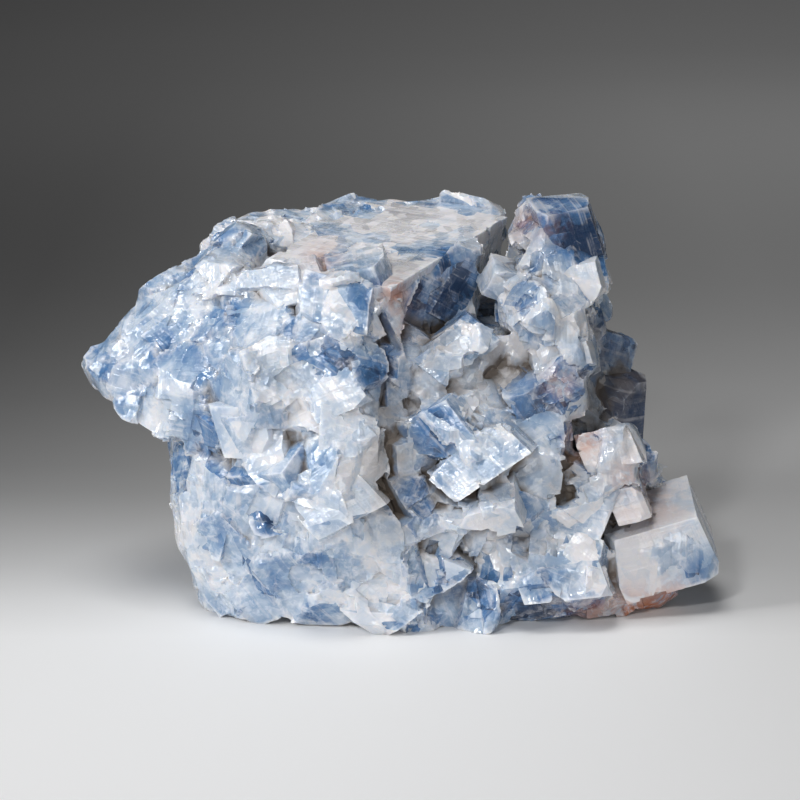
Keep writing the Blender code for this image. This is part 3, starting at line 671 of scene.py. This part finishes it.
def breakSurface(field):
    rng = np.random.default_rng(surface["seed"])
    shear = rhombEdges()
    looks = [(0.4, 0.3, 0.5, 0)]       # per crystal: tint, milk, wear, 1 if it is named
    lattice = [np.eye(3)]              # per crystal: the directions of its cleavage planes
    frames = [shear]                   # per crystal: the directions of its edges
    seeds = surfacePoints(field, surface["grainSpacing"], surface["grainSoftness"], rng)[0]
    grains = [randomTurn(rng) for _ in seeds]
    grainTint = rng.beta(*surface["grainTint"], len(seeds))

    def remember(edges, tint, milk, wear, named=0):
        looks.append((tint, milk, wear, named))
        frames.append(edges / np.linalg.norm(edges, axis=0))
        lattice.append(faceNormals(edges))

    def settle(edges, size, outward, most):
        # the crystal's own face that looks most along outward, tipped to lean no further
        n = faceNormals(edges)
        along = n @ outward
        k = int(np.abs(along).argmax())
        sign = 1.0 if along[k] > 0 else -1.0
        lean = math.acos(min(1.0, abs(along[k])))
        if lean > math.radians(most):
            axis = np.cross(n[k] * sign, outward)
            edges = turnAbout(axis / np.linalg.norm(axis), lean - math.radians(most)) @ edges
        return edges * size, k, sign

    def scatter(number):
        spacing, sizes, cutShare, top, cut, most, broken, patchy, alongFace = \
            surface["layers"][number]
        places, slopes, planeNormals, owners = surfacePoints(
            field, spacing, surface["layerSoftness"], rng)
        skip = calmMask(places)
        outside = (patchy - patches(places)) * surface["patchEdge"] + 0.5
        skip = np.maximum(skip, np.clip(outside, 0.0, 1.0))
        under = np.array(looks)[owners]
        skip[(under[:, 3] > 0) & ((under[:, 2] < surface["namedKept"]) | (not alongFace))] = 1.0
        if alongFace:
            skip[(planeNormals * slopes).sum(axis=1) < surface["alongFlat"]] = 1.0
        nearest = ((places[:, None] - seeds[None]) ** 2).sum(axis=2).argmin(axis=1)
        for k in range(len(places)):
            if rng.random() < skip[k]:
                continue
            if alongFace and owners[k] > 0:
                turned = randomTurn(rng, surface["alongJitter"]) @ frames[owners[k]]
            else:
                turned = randomTurn(rng, surface["grainJitter"]) @ grains[nearest[k]] @ shear
            size = rng.uniform(*sizes, 3)
            cutOut = rng.random() < cutShare
            outward = (planeNormals if alongFace else slopes)[k] * (-1.0 if cutOut else 1.0)
            edges, which, sign = settle(turned, size, outward, most)
            face = places[k] + outward * rng.uniform(*(cut if cutOut else top))
            middle = face - 0.5 * sign * edges[:, which]
            corners = rng.integers(broken[0], broken[1] + 1)
            chips = chipPlanes(edges, outward, rng, corners, *surface["chipped"])
            host = hosts[((middles - places[k]) ** 2).sum(axis=1).argmin()]
            tint = np.clip(host[0] + rng.normal() * 0.07, 0, 1)
            milk = 0.5 * host[1] + 0.5 * rng.beta(*surface["crystalMilk"])
            remember(edges, tint, milk, rng.uniform(*surface["layerWear"]))
            shapeRhomb(field, edges, middle, chips, cutOut, surface["mostDeep"])

    middles, slopes = surfacePoints(field, skin["spacing"], skin["softness"], rng)[:2]
    nearest = ((middles[:, None] - seeds[None]) ** 2).sum(axis=2).argmin(axis=1)
    planes = [[], [], []]              # normals and offsets of the face and of its two walls
    hosts = []                         # tint and milk of each grain of the skin
    own = surface["ownTint"]
    for k in range(len(middles)):
        turned = randomTurn(rng, surface["grainJitter"]) @ grains[nearest[k]] @ shear
        edges, which, sign = settle(turned, 1.0, slopes[k], skin["settled"])
        sideways = np.cross(slopes[k], rng.normal(size=3))
        lean = math.radians(skin["lean"]) * rng.random() ** 0.7
        edges = turnAbout(sideways / np.linalg.norm(sideways), lean) @ edges
        tint = (1 - own) * grainTint[nearest[k]] + own * rng.beta(*surface["crystalTint"])
        hosts.append((tint, rng.beta(*surface["crystalMilk"])))
        remember(edges, *hosts[-1], rng.uniform(*surface["skinWear"]))
        outward = sign * lattice[-1][which]
        planes[0].append((outward, outward @ middles[k] + rng.uniform(-1, 1) * skin["offset"]))
        for wall in (1, 2):
            wallNormal = lattice[-1][(which + wall) % 3] * rng.choice([-1.0, 1.0])
            at = wallNormal @ middles[k] + rng.uniform(*skin["stepAt"])
            planes[wall].append((wallNormal, at))
    tables = [(np.array([p[0] for p in rows]), np.array([p[1] for p in rows])) for rows in planes]
    growGrains(field, middles, *tables, field.ownerCount, rng)
    field.ownerCount += len(middles)
    hosts = np.array(hosts)
    print("grown", len(middles), "grains")

    for place, turned, size in clefts.values():
        edges = facing(*turned) @ shear * np.array(size, float)
        remember(edges, *surface["cleftLooks"])
        middle = fromFrontView(place)[0]
        shapeRhomb(field, edges, middle, (np.zeros((0, 3)), np.zeros(0)), True)
    for place, turned, size, tint, milk, wear in namedCrystals.values():
        turn = facing(*turned)
        edges = turn @ shear * np.array(size, float)
        middle = fromFrontView(place)[0] - turn[:, 2] * surface["namedSunk"] - edges[:, 2] * 0.5
        corners = 5 if max(size) < 20 else 2 if max(size) < 30 else 0    # broken off
        chips = chipPlanes(edges, turn[:, 2], rng, corners, *surface["namedChipped"])
        remember(edges, tint, milk, wear, 1)
        shapeRhomb(field, edges, middle, chips, False)
    for number in range(len(surface["layers"])):
        scatter(number)
        print("layer", number + 1, "placed:", field.ownerCount, "crystals so far")
    sunk = np.flatnonzero(field.follows & (np.abs(field.distance) < 2 * field.cell))
    followSlope(field, sunk, field.tables()[2][field.plane.ravel()[sunk]])
    return np.array(looks), np.array(lattice)


def wrapSurface(field):
    # one vertex in each cell that the surface crosses, where the planes that cross its edges
    # come closest to meeting, and one face across each edge of the grid that leaves the stone
    inside = field.distance < 0
    size = field.size - 1
    filled = np.zeros(size, np.uint8)
    for i, j, k in np.ndindex(2, 2, 2):
        filled += inside[i:size[0] + i, j:size[1] + j, k:size[2] + k]
    cells = np.stack(np.nonzero((filled > 0) & (filled < 8)), axis=1)
    number = np.full(size, -1, np.int32)
    number[tuple(cells.T)] = np.arange(len(cells))
    normals, offsets, owners = field.tables()
    count = len(cells)
    meet = np.zeros((count, 3, 3), np.float32)
    pull = np.zeros((count, 3), np.float32)
    mass = np.zeros((count, 3), np.float32)
    crossings = np.zeros(count, np.float32)
    origin = (field.low + cells * field.cell).astype(np.float32)
    for axis in range(3):
        others = [m for m in range(3) if m != axis]
        for u, v in np.ndindex(2, 2):
            start = np.zeros(3, int)
            start[others[0]], start[others[1]] = u, v
            stop = start.copy()
            stop[axis] = 1
            one, two = tuple((cells + start).T), tuple((cells + stop).T)
            da, db = field.distance[one], field.distance[two]
            crossed = (da < 0) != (db < 0)
            rows = np.flatnonzero(crossed)
            share = da[rows] / (da[rows] - db[rows])
            at = np.repeat(start[None].astype(np.float32), len(rows), axis=0)
            at[:, axis] += share
            mass[rows] += at
            crossings[rows] += 1
            for node in (one, two):
                which = field.plane[node][rows]
                n = normals[which]
                reach = (offsets[which] - (n * origin[rows]).sum(axis=1)) / field.cell
                meet[rows] += n[:, :, None] * n[:, None, :]
                pull[rows] += n * reach[:, None]
    mass /= crossings[:, None]
    weight = surface["featurePull"] * crossings
    meet += weight[:, None, None] * np.eye(3, dtype=np.float32)
    pull += weight[:, None] * mass
    local = np.linalg.solve(meet.astype(float), pull[:, :, None].astype(float))[:, :, 0]
    local = np.clip(local, 0.02, 0.98)
    places = origin + local * field.cell

    faces, faceOwner = [], []
    for axis in range(3):
        u, v = (axis + 1) % 3, (axis + 2) % 3
        ahead = [slice(None)] * 3
        behind = [slice(None)] * 3
        ahead[axis], behind[axis] = slice(1, None), slice(None, -1)
        crossed = inside[tuple(behind)] != inside[tuple(ahead)]
        edge = np.stack(np.nonzero(crossed), axis=1)
        ring = []
        for du, dv in ((-1, -1), (0, -1), (0, 0), (-1, 0)):
            cell = edge.copy()
            cell[:, u] += du
            cell[:, v] += dv
            ring.append(number[tuple(cell.T)])
        ring = np.stack(ring, axis=1)
        leaving = inside[tuple(edge.T)]
        ring[~leaving] = ring[~leaving][:, ::-1]
        far = edge.copy()
        far[:, axis] += 1
        da, db = np.abs(field.distance[tuple(edge.T)]), np.abs(field.distance[tuple(far.T)])
        node = np.where((da < db)[:, None], edge, far)
        faces.append(ring)
        faceOwner.append(owners[field.plane[tuple(node.T)]])
    return places, np.concatenate(faces), np.concatenate(faceOwner)


def largestBody(places, faces):
    # every vertex takes the lowest number among its neighbours until nothing changes, so each
    # loose body ends with one number, and the largest body stays
    label = np.arange(len(places))
    ends = np.concatenate([faces[:, [0, 1]], faces[:, [1, 2]], faces[:, [2, 3]], faces[:, [3, 0]]])
    while True:
        lowest = label.copy()
        np.minimum.at(lowest, ends[:, 0], label[ends[:, 1]])
        np.minimum.at(lowest, ends[:, 1], label[ends[:, 0]])
        lowest = lowest[lowest]
        lowest = lowest[lowest]
        if (lowest == label).all():
            break
        label = lowest
    body = np.bincount(label).argmax()
    kept = label == body
    renumber = np.cumsum(kept) - 1
    stay = kept[faces[:, 0]]
    return places[kept], renumber[faces[stay]], stay


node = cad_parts["blue_calcite"]
triangles = stoneTriangles(node)
low, high = triangles.reshape(-1, 3).min(axis=0), triangles.reshape(-1, 3).max(axis=0)
field = Field(low, high)
measureTriangles(field, triangles)
markInside(field, triangles)
print("measured the stone on", tuple(field.size), "points")
fuse(field)
looks, lattice = breakSurface(field)
keepInBox(field, low, high)
places, faces, faceOwner = wrapSurface(field)
places, faces, stay = largestBody(np.clip(places, low, high), faces)
faceOwner = faceOwner[stay]
print("wrapped", len(places), "vertices,", len(faces), "faces")


def addAttribute(mesh, name, kind, domain, values):
    layer = mesh.attributes.new(name, kind, domain)
    key = "vector" if kind == "FLOAT_VECTOR" else "value"
    layer.data.foreach_set(key, np.ascontiguousarray(values, np.float32).ravel())


# How the material learns where hollows, edges, cracks and seams are, by the share of stone
# round a point
relief = {
    "near": 1.3,               # mm round the point, for edges and cracks
    "wide": 4.5,               # mm, for hollows
    "edge": (0.5, -3.0),       # share from which it shows, and how fast it grows with the share
    "crack": (0.52, 4.0),
    "hollow": (0.5, 3.2),
    "seamWidth": 0.9,          # mm
}


def addLooks(mesh):
    # what the material reads: how deep in a hollow or far out on an edge each point lies, the
    # spots, and the looks of the crystal that each face belongs to
    small = readAt(field, soften(field, relief["near"]), places)
    wide = readAt(field, soften(field, relief["wide"]), places)

    def reached(share, name):
        start, growth = relief[name]
        return np.clip((share - start) * growth, 0, 1)

    perPoint = {
        "hollow": reached(wide, "hollow"),
        "edge": reached(small, "edge"),
        "crack": reached(small, "crack"),
        "rust": spotWeight(places, rustSpots),
        "paintedShadeAndEarth": spotWeight(places, paintedShadeAndEarthSpots),
        "blueAndPaintedShadeSpot": spotWeight(places, blueAndPaintedShadeSpots),
        "paleAndPaintedLightSpot": spotWeight(places, paleAndPaintedLightSpots),
        "seam": np.exp(-(readAt(field, field.seam, places) / relief["seamWidth"]) ** 2),
    }
    for name, values in perPoint.items():
        addAttribute(mesh, name, "FLOAT", "POINT", values)
    for column, name in enumerate(("tint", "milk", "wear", "named")):
        addAttribute(mesh, name, "FLOAT", "FACE", looks[faceOwner, column])
    for row, letter in enumerate("ABC"):
        addAttribute(mesh, "cleavage" + letter, "FLOAT_VECTOR", "FACE", lattice[faceOwner, row])


def makeStone():
    mesh = bpy.data.meshes.new("calciteStone")
    mesh.vertices.add(len(places))
    mesh.vertices.foreach_set("co", (places / 1000.0).astype(np.float32).ravel())
    mesh.loops.add(faces.size)
    mesh.loops.foreach_set("vertex_index", faces.astype(np.int32).ravel())
    mesh.polygons.add(len(faces))
    mesh.polygons.foreach_set("loop_start", np.arange(0, faces.size, 4, dtype=np.int32))
    mesh.update(calc_edges=True)
    mesh.validate()
    addLooks(mesh)

    # the flat parts of the skin need fewer triangles, and none may leave the stone's box
    stone = bpy.data.objects.new("calciteStone", mesh)
    bpy.context.scene.collection.objects.link(stone)
    thin = stone.modifiers.new("fewer triangles", "DECIMATE")
    thin.ratio = min(1.0, surface["triangles"] / (2.0 * len(faces)))
    bpy.context.view_layer.update()
    graph = bpy.context.evaluated_depsgraph_get()
    lighter = bpy.data.meshes.new_from_object(stone.evaluated_get(graph))
    stone.modifiers.clear()
    stone.data = lighter
    lighter.name = "calciteStone"
    bpy.data.meshes.remove(mesh)
    points = np.empty(len(lighter.vertices) * 3, np.float32)
    lighter.vertices.foreach_get("co", points)
    points = np.clip(points.reshape(-1, 3), low / 1000.0, high / 1000.0)
    lighter.vertices.foreach_set("co", points.astype(np.float32).ravel())
    lighter.update()
    lighter.shade_smooth()
    lighter.set_sharp_from_angle(angle=math.radians(surface["sharpAngle"]))
    print("stone:", sum(len(p.vertices) - 2 for p in lighter.polygons), "triangles")
    return stone


stone = makeStone()


class Nodes:
    # short ways to add shader nodes to a material of its own and to join them up

    def __init__(self, name):
        self.material = bpy.data.materials.new(name)
        self.material.use_nodes = True
        self.tree = self.material.node_tree
        self.shader = self.tree.nodes["Principled BSDF"]
        self.place = self.add("TexCoord", {}, "Object")

    def add(self, kind, inputs, output=0, **settings):
        # inputs go by name or number: another node's output is linked, a value is set
        made = self.tree.nodes.new("ShaderNode" + kind)
        for key, value in settings.items():
            setattr(made, key, value)
        for key, value in inputs.items():
            self.plug(value, made.inputs[key])
        return made if output is None else made.outputs[output]

    def plug(self, value, socket):
        if isinstance(value, bpy.types.NodeSocket):
            self.tree.links.new(value, socket)
        else:
            socket.default_value = value

    def attribute(self, name, output="Fac"):
        return self.add("Attribute", {}, output, attribute_name=name)

    def plus(self, a, b, clamp=False):
        return self.add("Math", {0: a, 1: b}, operation="ADD", use_clamp=clamp)

    def minus(self, a, b, clamp=False):
        return self.add("Math", {0: a, 1: b}, operation="SUBTRACT", use_clamp=clamp)

    def times(self, a, b, clamp=False):
        return self.add("Math", {0: a, 1: b}, operation="MULTIPLY", use_clamp=clamp)

    def vector(self, operation, a, b=(0.0, 0.0, 0.0), output="Vector"):
        return self.add("VectorMath", {0: a, 1: b}, output, operation=operation)

    def scaled(self, vector, amount):
        return self.add("VectorMath", {0: vector, "Scale": amount}, operation="SCALE")

    def mix(self, amount, a, b):
        colours = {"Factor": amount, 6: a, 7: b}
        return self.add("Mix", colours, 2, data_type="RGBA", clamp_factor=True)

    def ramp(self, value, low, high, outLow=0.0, outHigh=1.0, curve="SMOOTHSTEP"):
        ends = {"From Min": low, "From Max": high, "To Min": outLow, "To Max": outHigh}
        return self.add("MapRange", {"Value": value, **ends}, "Result", interpolation_type=curve)

    def colourScale(self, value, stops):
        # stops: a position from 0 to 1 and a colour each, first and last at the ends
        made = self.add("ValToRGB", {"Fac": value}, None)
        elements = made.color_ramp.elements
        elements[0].position, elements[0].color = stops[0]
        elements[1].position, elements[1].color = stops[-1]
        for position, colour in stops[1:-1]:
            elements.new(position).color = colour
        return made.outputs["Color"]


calcite = {
    "white": (0.75, 0.74, 0.76, 1.0),
    "pale": (0.58, 0.645, 0.73, 1.0),
    "middle": (0.28, 0.385, 0.53, 1.0),
    "blue": (0.08, 0.19, 0.38, 1.0),
    "deep": (0.028, 0.058, 0.125, 1.0),
    "bruised": (0.86, 0.87, 0.90, 1.0),
    # dark brown for earth stains, and for painted shade in hollows and recesses
    "paintedShadeAndEarth": (0.13, 0.105, 0.085, 1.0),
    "rust": (0.46, 0.15, 0.05, 1.0),
    # the tint at which each colour is reached
    "tints": {"white": 0.0, "pale": 0.28, "middle": 0.56, "blue": 0.8, "deep": 1.0},
    # patterns on the stone: scale per metre, detail, roughness, distortion
    "clouds": (60, 4, 0.6, 0.5),
    "mottles": (150, 5, 0.6, 0.8),
    "specks": (430, 4, 0.65, 0.6),
    "veils": (210, 5, 0.62, 1.4),
    "grit": (1100, 3, 0.6, 0.0),
    # patterns along one cleavage direction: which, scale per metre, detail
    "steps": ("B", 800, 3),
    "lamellae": ("A", 520, 2),
    # cleavage blocks inside a crystal, large and small: number per metre, and how far a
    # block's surface may lean, as a slope
    "largeBlocks": (175.0, 0.2),
    "smallBlocks": (460.0, 0.34),
    # where in its pattern each white mark begins and is full
    "mottleAt": (0.46, 0.62),
    "speckAt": (0.5, 0.66),
    "veilAt": (0.5, 0.72),
    "stripeAt": (0.54, 0.66),
    "bruiseAt": (0.62, 1.05),
    "lineWidth": 0.05,               # between two blocks, as a share of a block
    # how far each of these changes the tint
    "cloudTint": 1.15,
    "blockTint": 0.18,
    "mottleTint": 0.2,
    "speckTint": 0.16,
    "blueAndPaintedShadeSpotTint": 0.5,
    "paleAndPaintedLightSpotTint": 0.42,
    "moreTint": 0.09,
    # how strongly each white mark shows
    "veiled": 0.7,
    "blockLines": 0.2,
    "stripes": 0.34,
    "bruises": 0.6,
    "seams": 0.6,
    # gloss: least roughness, and what wear, dull blocks, grit, and the stains and painted shade add to
    # it
    "roughness": 0.07,
    "wornRough": 0.1,
    "dullRough": 0.14,
    "gritRough": 0.12,
    "stainAndShadeRough": 0.4,
    # relief too fine for the mesh: how much of it each pattern makes
    "stepBump": 0.8,
    "veilBump": 0.6,
    "gritBump": 0.2,
    "lamellaBump": 0.9,
    "bumpDistance": 0.0005,          # metres
    "bumpStrength": 0.3,
    "subsurface": 0.5,
    "subsurfaceScale": 0.0016,       # metres
    "subsurfaceRadius": (0.75, 0.9, 1.2),
    "ior": 1.58,
}


def makeCalcite():
    nodes = Nodes("calcite")
    plus, minus, times, ramp, mix = nodes.plus, nodes.minus, nodes.times, nodes.ramp, nodes.mix
    attribute, place = nodes.attribute, nodes.place

    # the place inside the crystal, measured along its three cleavage directions
    along = {}
    for letter in "ABC":
        direction = attribute("cleavage" + letter, "Vector")
        along[letter] = nodes.vector("DOT_PRODUCT", place, direction, "Value")
    inCrystal = nodes.add("CombineXYZ", {0: along["A"], 1: along["B"], 2: along["C"]})

    def noise(scale, detail, roughness, distortion):
        return nodes.add("TexNoise", {"Vector": place, "Scale": scale, "Detail": detail,
                                      "Roughness": roughness, "Distortion": distortion}, "Fac")

    def layered(letter, scale, detail):
        # noise that runs only along one cleavage direction, so it draws parallel steps
        return nodes.add("TexNoise", {"W": along[letter], "Scale": scale, "Detail": detail,
                                      "Roughness": 0.7}, "Fac", noise_dimensions="1D")

    def blocks(scale, tilt):
        # the nearest and the next nearest block, and the lean of the nearest one's surface
        one, two = (nodes.add("TexVoronoi", {"Vector": inCrystal, "Scale": scale}, None,
                              feature=feature, distance="CHEBYCHEV") for feature in ("F1", "F2"))
        lean = nodes.vector("SUBTRACT", one.outputs["Color"], (0.5, 0.5, 0.5))
        return one.outputs, two.outputs, nodes.vector("MULTIPLY", lean, (tilt, tilt, tilt))

    clouds, mottles, specks, veils, grit = (
        noise(*calcite[name]) for name in ("clouds", "mottles", "specks", "veils", "grit"))
    steps, lamellae = layered(*calcite["steps"]), layered(*calcite["lamellae"])
    block, nextBlock, largeLean = blocks(*calcite["largeBlocks"])
    smallLean = blocks(*calcite["smallBlocks"])[2]
    chance = nodes.add("SeparateColor", {"Color": block["Color"]}, None).outputs
    wear, blueAndPaintedShadeSpot = attribute("wear"), attribute("blueAndPaintedShadeSpot")

    # how blue: the crystal's own tint, clouds and blocks inside it, and the listed patches
    tint = plus(attribute("tint"), times(minus(clouds, 0.5), calcite["cloudTint"]))
    tint = plus(tint, times(minus(chance["Red"], 0.5), calcite["blockTint"]))
    cloudy = plus(ramp(mottles, *calcite["mottleAt"], 0.0, calcite["mottleTint"]),
                  ramp(specks, *calcite["speckAt"], 0.0, calcite["speckTint"]))
    tint = minus(tint, times(cloudy, minus(1.0, times(blueAndPaintedShadeSpot, 0.7))))
    tint = plus(tint, calcite["moreTint"])
    # the blue patches deepen the tint: blue colour, and painted shade on the valley wall and in the
    # recess at the right
    tint = plus(tint, times(blueAndPaintedShadeSpot, calcite["blueAndPaintedShadeSpotTint"]))
    # the pale patches lighten the tint: pale colour, and painted light on the top plane, the hackly
    # slope and the corner block
    tint = minus(tint, times(attribute("paleAndPaintedLightSpot"), calcite["paleAndPaintedLightSpotTint"]), clamp=True)
    colour = nodes.colourScale(tint, [(at, calcite[name]) for name, at in calcite["tints"].items()])

    # white veils inside, white lines between blocks, stripes, bruised edges and pale seams
    veil = times(ramp(veils, *calcite["veilAt"]), plus(attribute("milk"), 0.15))
    colour = mix(times(veil, calcite["veiled"], clamp=True), colour, calcite["white"])
    border = minus(nextBlock["Distance"], block["Distance"])
    line = times(ramp(border, 0.0, calcite["lineWidth"], 1.0, 0.0), ramp(specks, 0.46, 0.62))
    colour = mix(times(line, calcite["blockLines"]), colour, calcite["bruised"])
    stripe = times(ramp(lamellae, *calcite["stripeAt"]), ramp(mottles, 0.4, 0.6))
    colour = mix(times(stripe, calcite["stripes"]), colour, calcite["white"])
    bruise = ramp(plus(attribute("edge"), times(veils, 0.5)), *calcite["bruiseAt"],
                  0.0, calcite["bruises"])
    colour = mix(bruise, colour, calcite["bruised"])
    seam = times(attribute("seam"), minus(1.0, attribute("named")))
    seam = times(seam, ramp(specks, 0.36, 0.6))
    colour = mix(times(seam, calcite["seams"]), colour, calcite["white"])

    # earth stains and painted shade in the hollows, and less of them on the blue patches
    hollow = attribute("hollow")
    stainAndShade = times(attribute("paintedShadeAndEarth"), plus(times(hollow, hollow), 0.8))
    # painted shade: every hollow darkens, stained or not
    stainAndShade = plus(stainAndShade, times(ramp(hollow, 0.2, 0.65), 0.7))
    stainAndShade = plus(stainAndShade, times(times(attribute("crack"), hollow), 0.7))
    stainAndShade = times(stainAndShade, ramp(mottles, 0.36, 0.6, 0.45, 1.0), clamp=True)
    stainAndShade = times(stainAndShade, minus(1.0, times(blueAndPaintedShadeSpot, 0.8)))
    colour = mix(stainAndShade, colour, calcite["paintedShadeAndEarth"])
    rust = times(attribute("rust"), ramp(veils, 0.38, 0.54, 0.2, 1.0), clamp=True)
    nodes.plug(mix(rust, colour, calcite["rust"]), nodes.shader.inputs["Base Color"])

    # gloss: cleavage faces shine, crushed skin and the stained and painted-shade hollows don't
    rough = plus(calcite["roughness"], times(wear, calcite["wornRough"]))
    rough = plus(rough, ramp(chance["Green"], 0.5, 0.9, 0.0, calcite["dullRough"]))
    rough = plus(rough, ramp(grit, 0.5, 0.75, 0.0, calcite["gritRough"]))
    rough = plus(rough, times(stainAndShade, calcite["stainAndShadeRough"]), clamp=True)
    nodes.plug(rough, nodes.shader.inputs["Roughness"])

    # each block leans its own way, and fine steps and grit lie on all of them
    lean = nodes.scaled(nodes.vector("ADD", largeLean, smallLean), ramp(wear, 0.0, 0.4, 0.1, 1.0))
    outward = nodes.add("NewGeometry", {}, "Normal")
    facet = nodes.vector("NORMALIZE", nodes.vector("ADD", outward, lean))
    height = plus(times(steps, calcite["stepBump"]), times(veils, calcite["veilBump"]))
    height = plus(height, times(grit, calcite["gritBump"]))
    height = plus(height, times(lamellae, calcite["lamellaBump"]))
    bump = nodes.add("Bump", {"Strength": calcite["bumpStrength"], "Height": height,
                              "Distance": calcite["bumpDistance"], "Normal": facet}, "Normal")
    nodes.plug(bump, nodes.shader.inputs["Normal"])

    for name, value in (("Subsurface Weight", calcite["subsurface"]),
                        ("Subsurface Scale", calcite["subsurfaceScale"]),
                        ("Subsurface Radius", calcite["subsurfaceRadius"]),
                        ("IOR", calcite["ior"]), ("Metallic", 0.0)):
        nodes.shader.inputs[name].default_value = value
    return nodes.material


stone.data.materials.clear()
stone.data.materials.append(makeCalcite())
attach(stone, "root")
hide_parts("blue_calcite")
print("dressed the stone")


studio = {
    "paper": (0.92, 0.92, 0.93, 1.0),
    "paperFrom": -0.3,               # metres along the depth, where the paper's painted shade starts
    "paperTo": 2.1,
    # position between those two places and grey of the paper there, painted shade that darkens the
    # paper to the back
    "paintedShadeGreys": ((0.105, 0.86), (0.13, 0.58), (0.155, 0.4), (0.2, 0.31), (0.27, 0.25), (0.36, 0.2),
              (0.62, 0.1), (1.0, 0.1)),
    # behind the stone: how far left and right (metres) the paper goes from painted shade to painted
    # light, and by how much, and the depths over which that comes in and goes out again
    "asideAt": (-0.13, 0.13),
    "asidePaintedShadeAndLight": (0.6, 1.6),
    "behindAt": (-0.02, 0.1),
    "beyondAt": (0.25, 1.0),
    "beyondKept": 0.1,
    "paperRoughness": 0.65,
    "sweepRadius": 1.2,              # metres, from here to sweepTop
    "sweepBack": 0.9,
    "sweepFront": -4.0,
    "sweepHalf": 6.0,
    "sweepTop": 5.0,
    "cameraDistance": 0.7,
    "cameraTarget": (0.00084, -0.00338, 0.04463),
    "frameWidth": 0.1908,            # metres across at the middle of the stone
    "sensor": 36.0,
    "world": (0.03, 0.03, 0.031, 1.0),
    "worldStrength": 1.0,
    # place and aim, size (m), power (W), spread (degrees)
    "lamps": {
        "key": ((-0.60, -0.26, 0.32), (0.04, 0.0, 0.02), 0.18, 0.34, 70),
        "glint": ((-0.22, -0.68, 0.48), (0.02, 0.0, 0.04), 0.08, 0.44, 90),
        "fill": ((0.26, -0.78, 0.22), (0.02, 0.0, 0.03), 0.3, 0.31, 90),
        "top": ((-0.1, -0.15, 0.80), (0.0, 0.0, 0.04), 0.36, 0.88, 100),
        "wall": ((0.5, 0.5, 0.9), (0.1, 1.2, 0.05), 0.5, 2.8, 90),
    },
}


def inScene(name, data):
    thing = bpy.data.objects.new(name, data)
    bpy.context.scene.collection.objects.link(thing)
    return thing


def point(thing, place, direction):
    # a lamp or camera at a place, looking along a direction
    thing.location = place
    thing.rotation_mode = "QUATERNION"
    thing.rotation_quaternion = direction.to_track_quat("-Z", "Y")


def makePaper():
    # pale below the stone, with painted shade darker to the back, and behind the stone
    # painted shade to the left and painted light to the right
    nodes = Nodes("paper")
    split = nodes.add("SeparateXYZ", {"Vector": nodes.place}, None).outputs
    back = nodes.ramp(split["Y"], studio["paperFrom"], studio["paperTo"], curve="LINEAR")
    # painted shade: the paper darkens to the back
    paintedShadeGreys = [(at, (grey, grey, grey, 1.0)) for at, grey in studio["paintedShadeGreys"]]
    fade = nodes.colourScale(back, [(0.0, studio["paper"])] + paintedShadeGreys)
    # painted shade to the left and painted light to the right, behind the stone
    aside = nodes.ramp(split["X"], *studio["asideAt"], *studio["asidePaintedShadeAndLight"], curve="LINEAR")
    behind = nodes.ramp(split["Y"], *studio["behindAt"], curve="LINEAR")
    beyond = nodes.ramp(split["Y"], *studio["beyondAt"], 1.0, studio["beyondKept"], curve="LINEAR")
    sides = nodes.add("Mix", {"Factor": nodes.times(behind, beyond), "A": 1.0, "B": aside})
    nodes.plug(nodes.scaled(fade, sides), nodes.shader.inputs["Base Color"])
    nodes.shader.inputs["Roughness"].default_value = studio["paperRoughness"]
    return nodes.material


def makeSweep():
    # a floor that turns up into a wall behind: points along the profile, straight, a quarter
    # circle, then straight up, carried from side to side
    radius, back = studio["sweepRadius"], studio["sweepBack"]
    bend = np.linspace(0, math.pi / 2, 24)
    along = np.concatenate([[studio["sweepFront"]], back + radius * np.sin(bend), [back + radius]])
    height = np.concatenate([[0.0], radius * (1 - np.cos(bend)), [studio["sweepTop"]]])
    verts = np.concatenate([np.stack([np.full_like(along, side), along, height], axis=1)
                            for side in (-studio["sweepHalf"], studio["sweepHalf"])])
    n = len(along)
    quads = [(k, k + n, k + n + 1, k + 1) for k in range(n - 1)]
    mesh = bpy.data.meshes.new("sweep")
    mesh.from_pydata(verts.tolist(), [], quads)
    mesh.shade_smooth()
    mesh.materials.append(makePaper())
    sweep = inScene("sweep", mesh)


def makeLamp(name, place, target, size, power, spread):
    data = bpy.data.lights.new(name, "AREA")
    data.energy = power
    data.size = size
    data.spread = math.radians(spread)
    point(inScene(name, data), place, Vector(target) - Vector(place))


def makeCamera():
    data = bpy.data.cameras.new("camera")
    data.sensor_width = studio["sensor"]
    data.lens = studio["sensor"] * studio["cameraDistance"] / studio["frameWidth"]
    camera = inScene("camera", data)
    tilt = math.radians(frontView["tilt"])
    back = Vector((0.0, -math.cos(tilt), math.sin(tilt)))
    point(camera, Vector(studio["cameraTarget"]) + back * studio["cameraDistance"], -back)
    bpy.context.scene.camera = camera


makeSweep()
for lampName, values in studio["lamps"].items():
    makeLamp(lampName, *values)
makeCamera()
world = bpy.data.worlds.new("studio")
world.use_nodes = True
world.node_tree.nodes["Background"].inputs["Color"].default_value = studio["world"]
world.node_tree.nodes["Background"].inputs["Strength"].default_value = studio["worldStrength"]
bpy.context.scene.world = world
bpy.context.scene.view_settings.view_transform = "Standard"
print("studio ready")
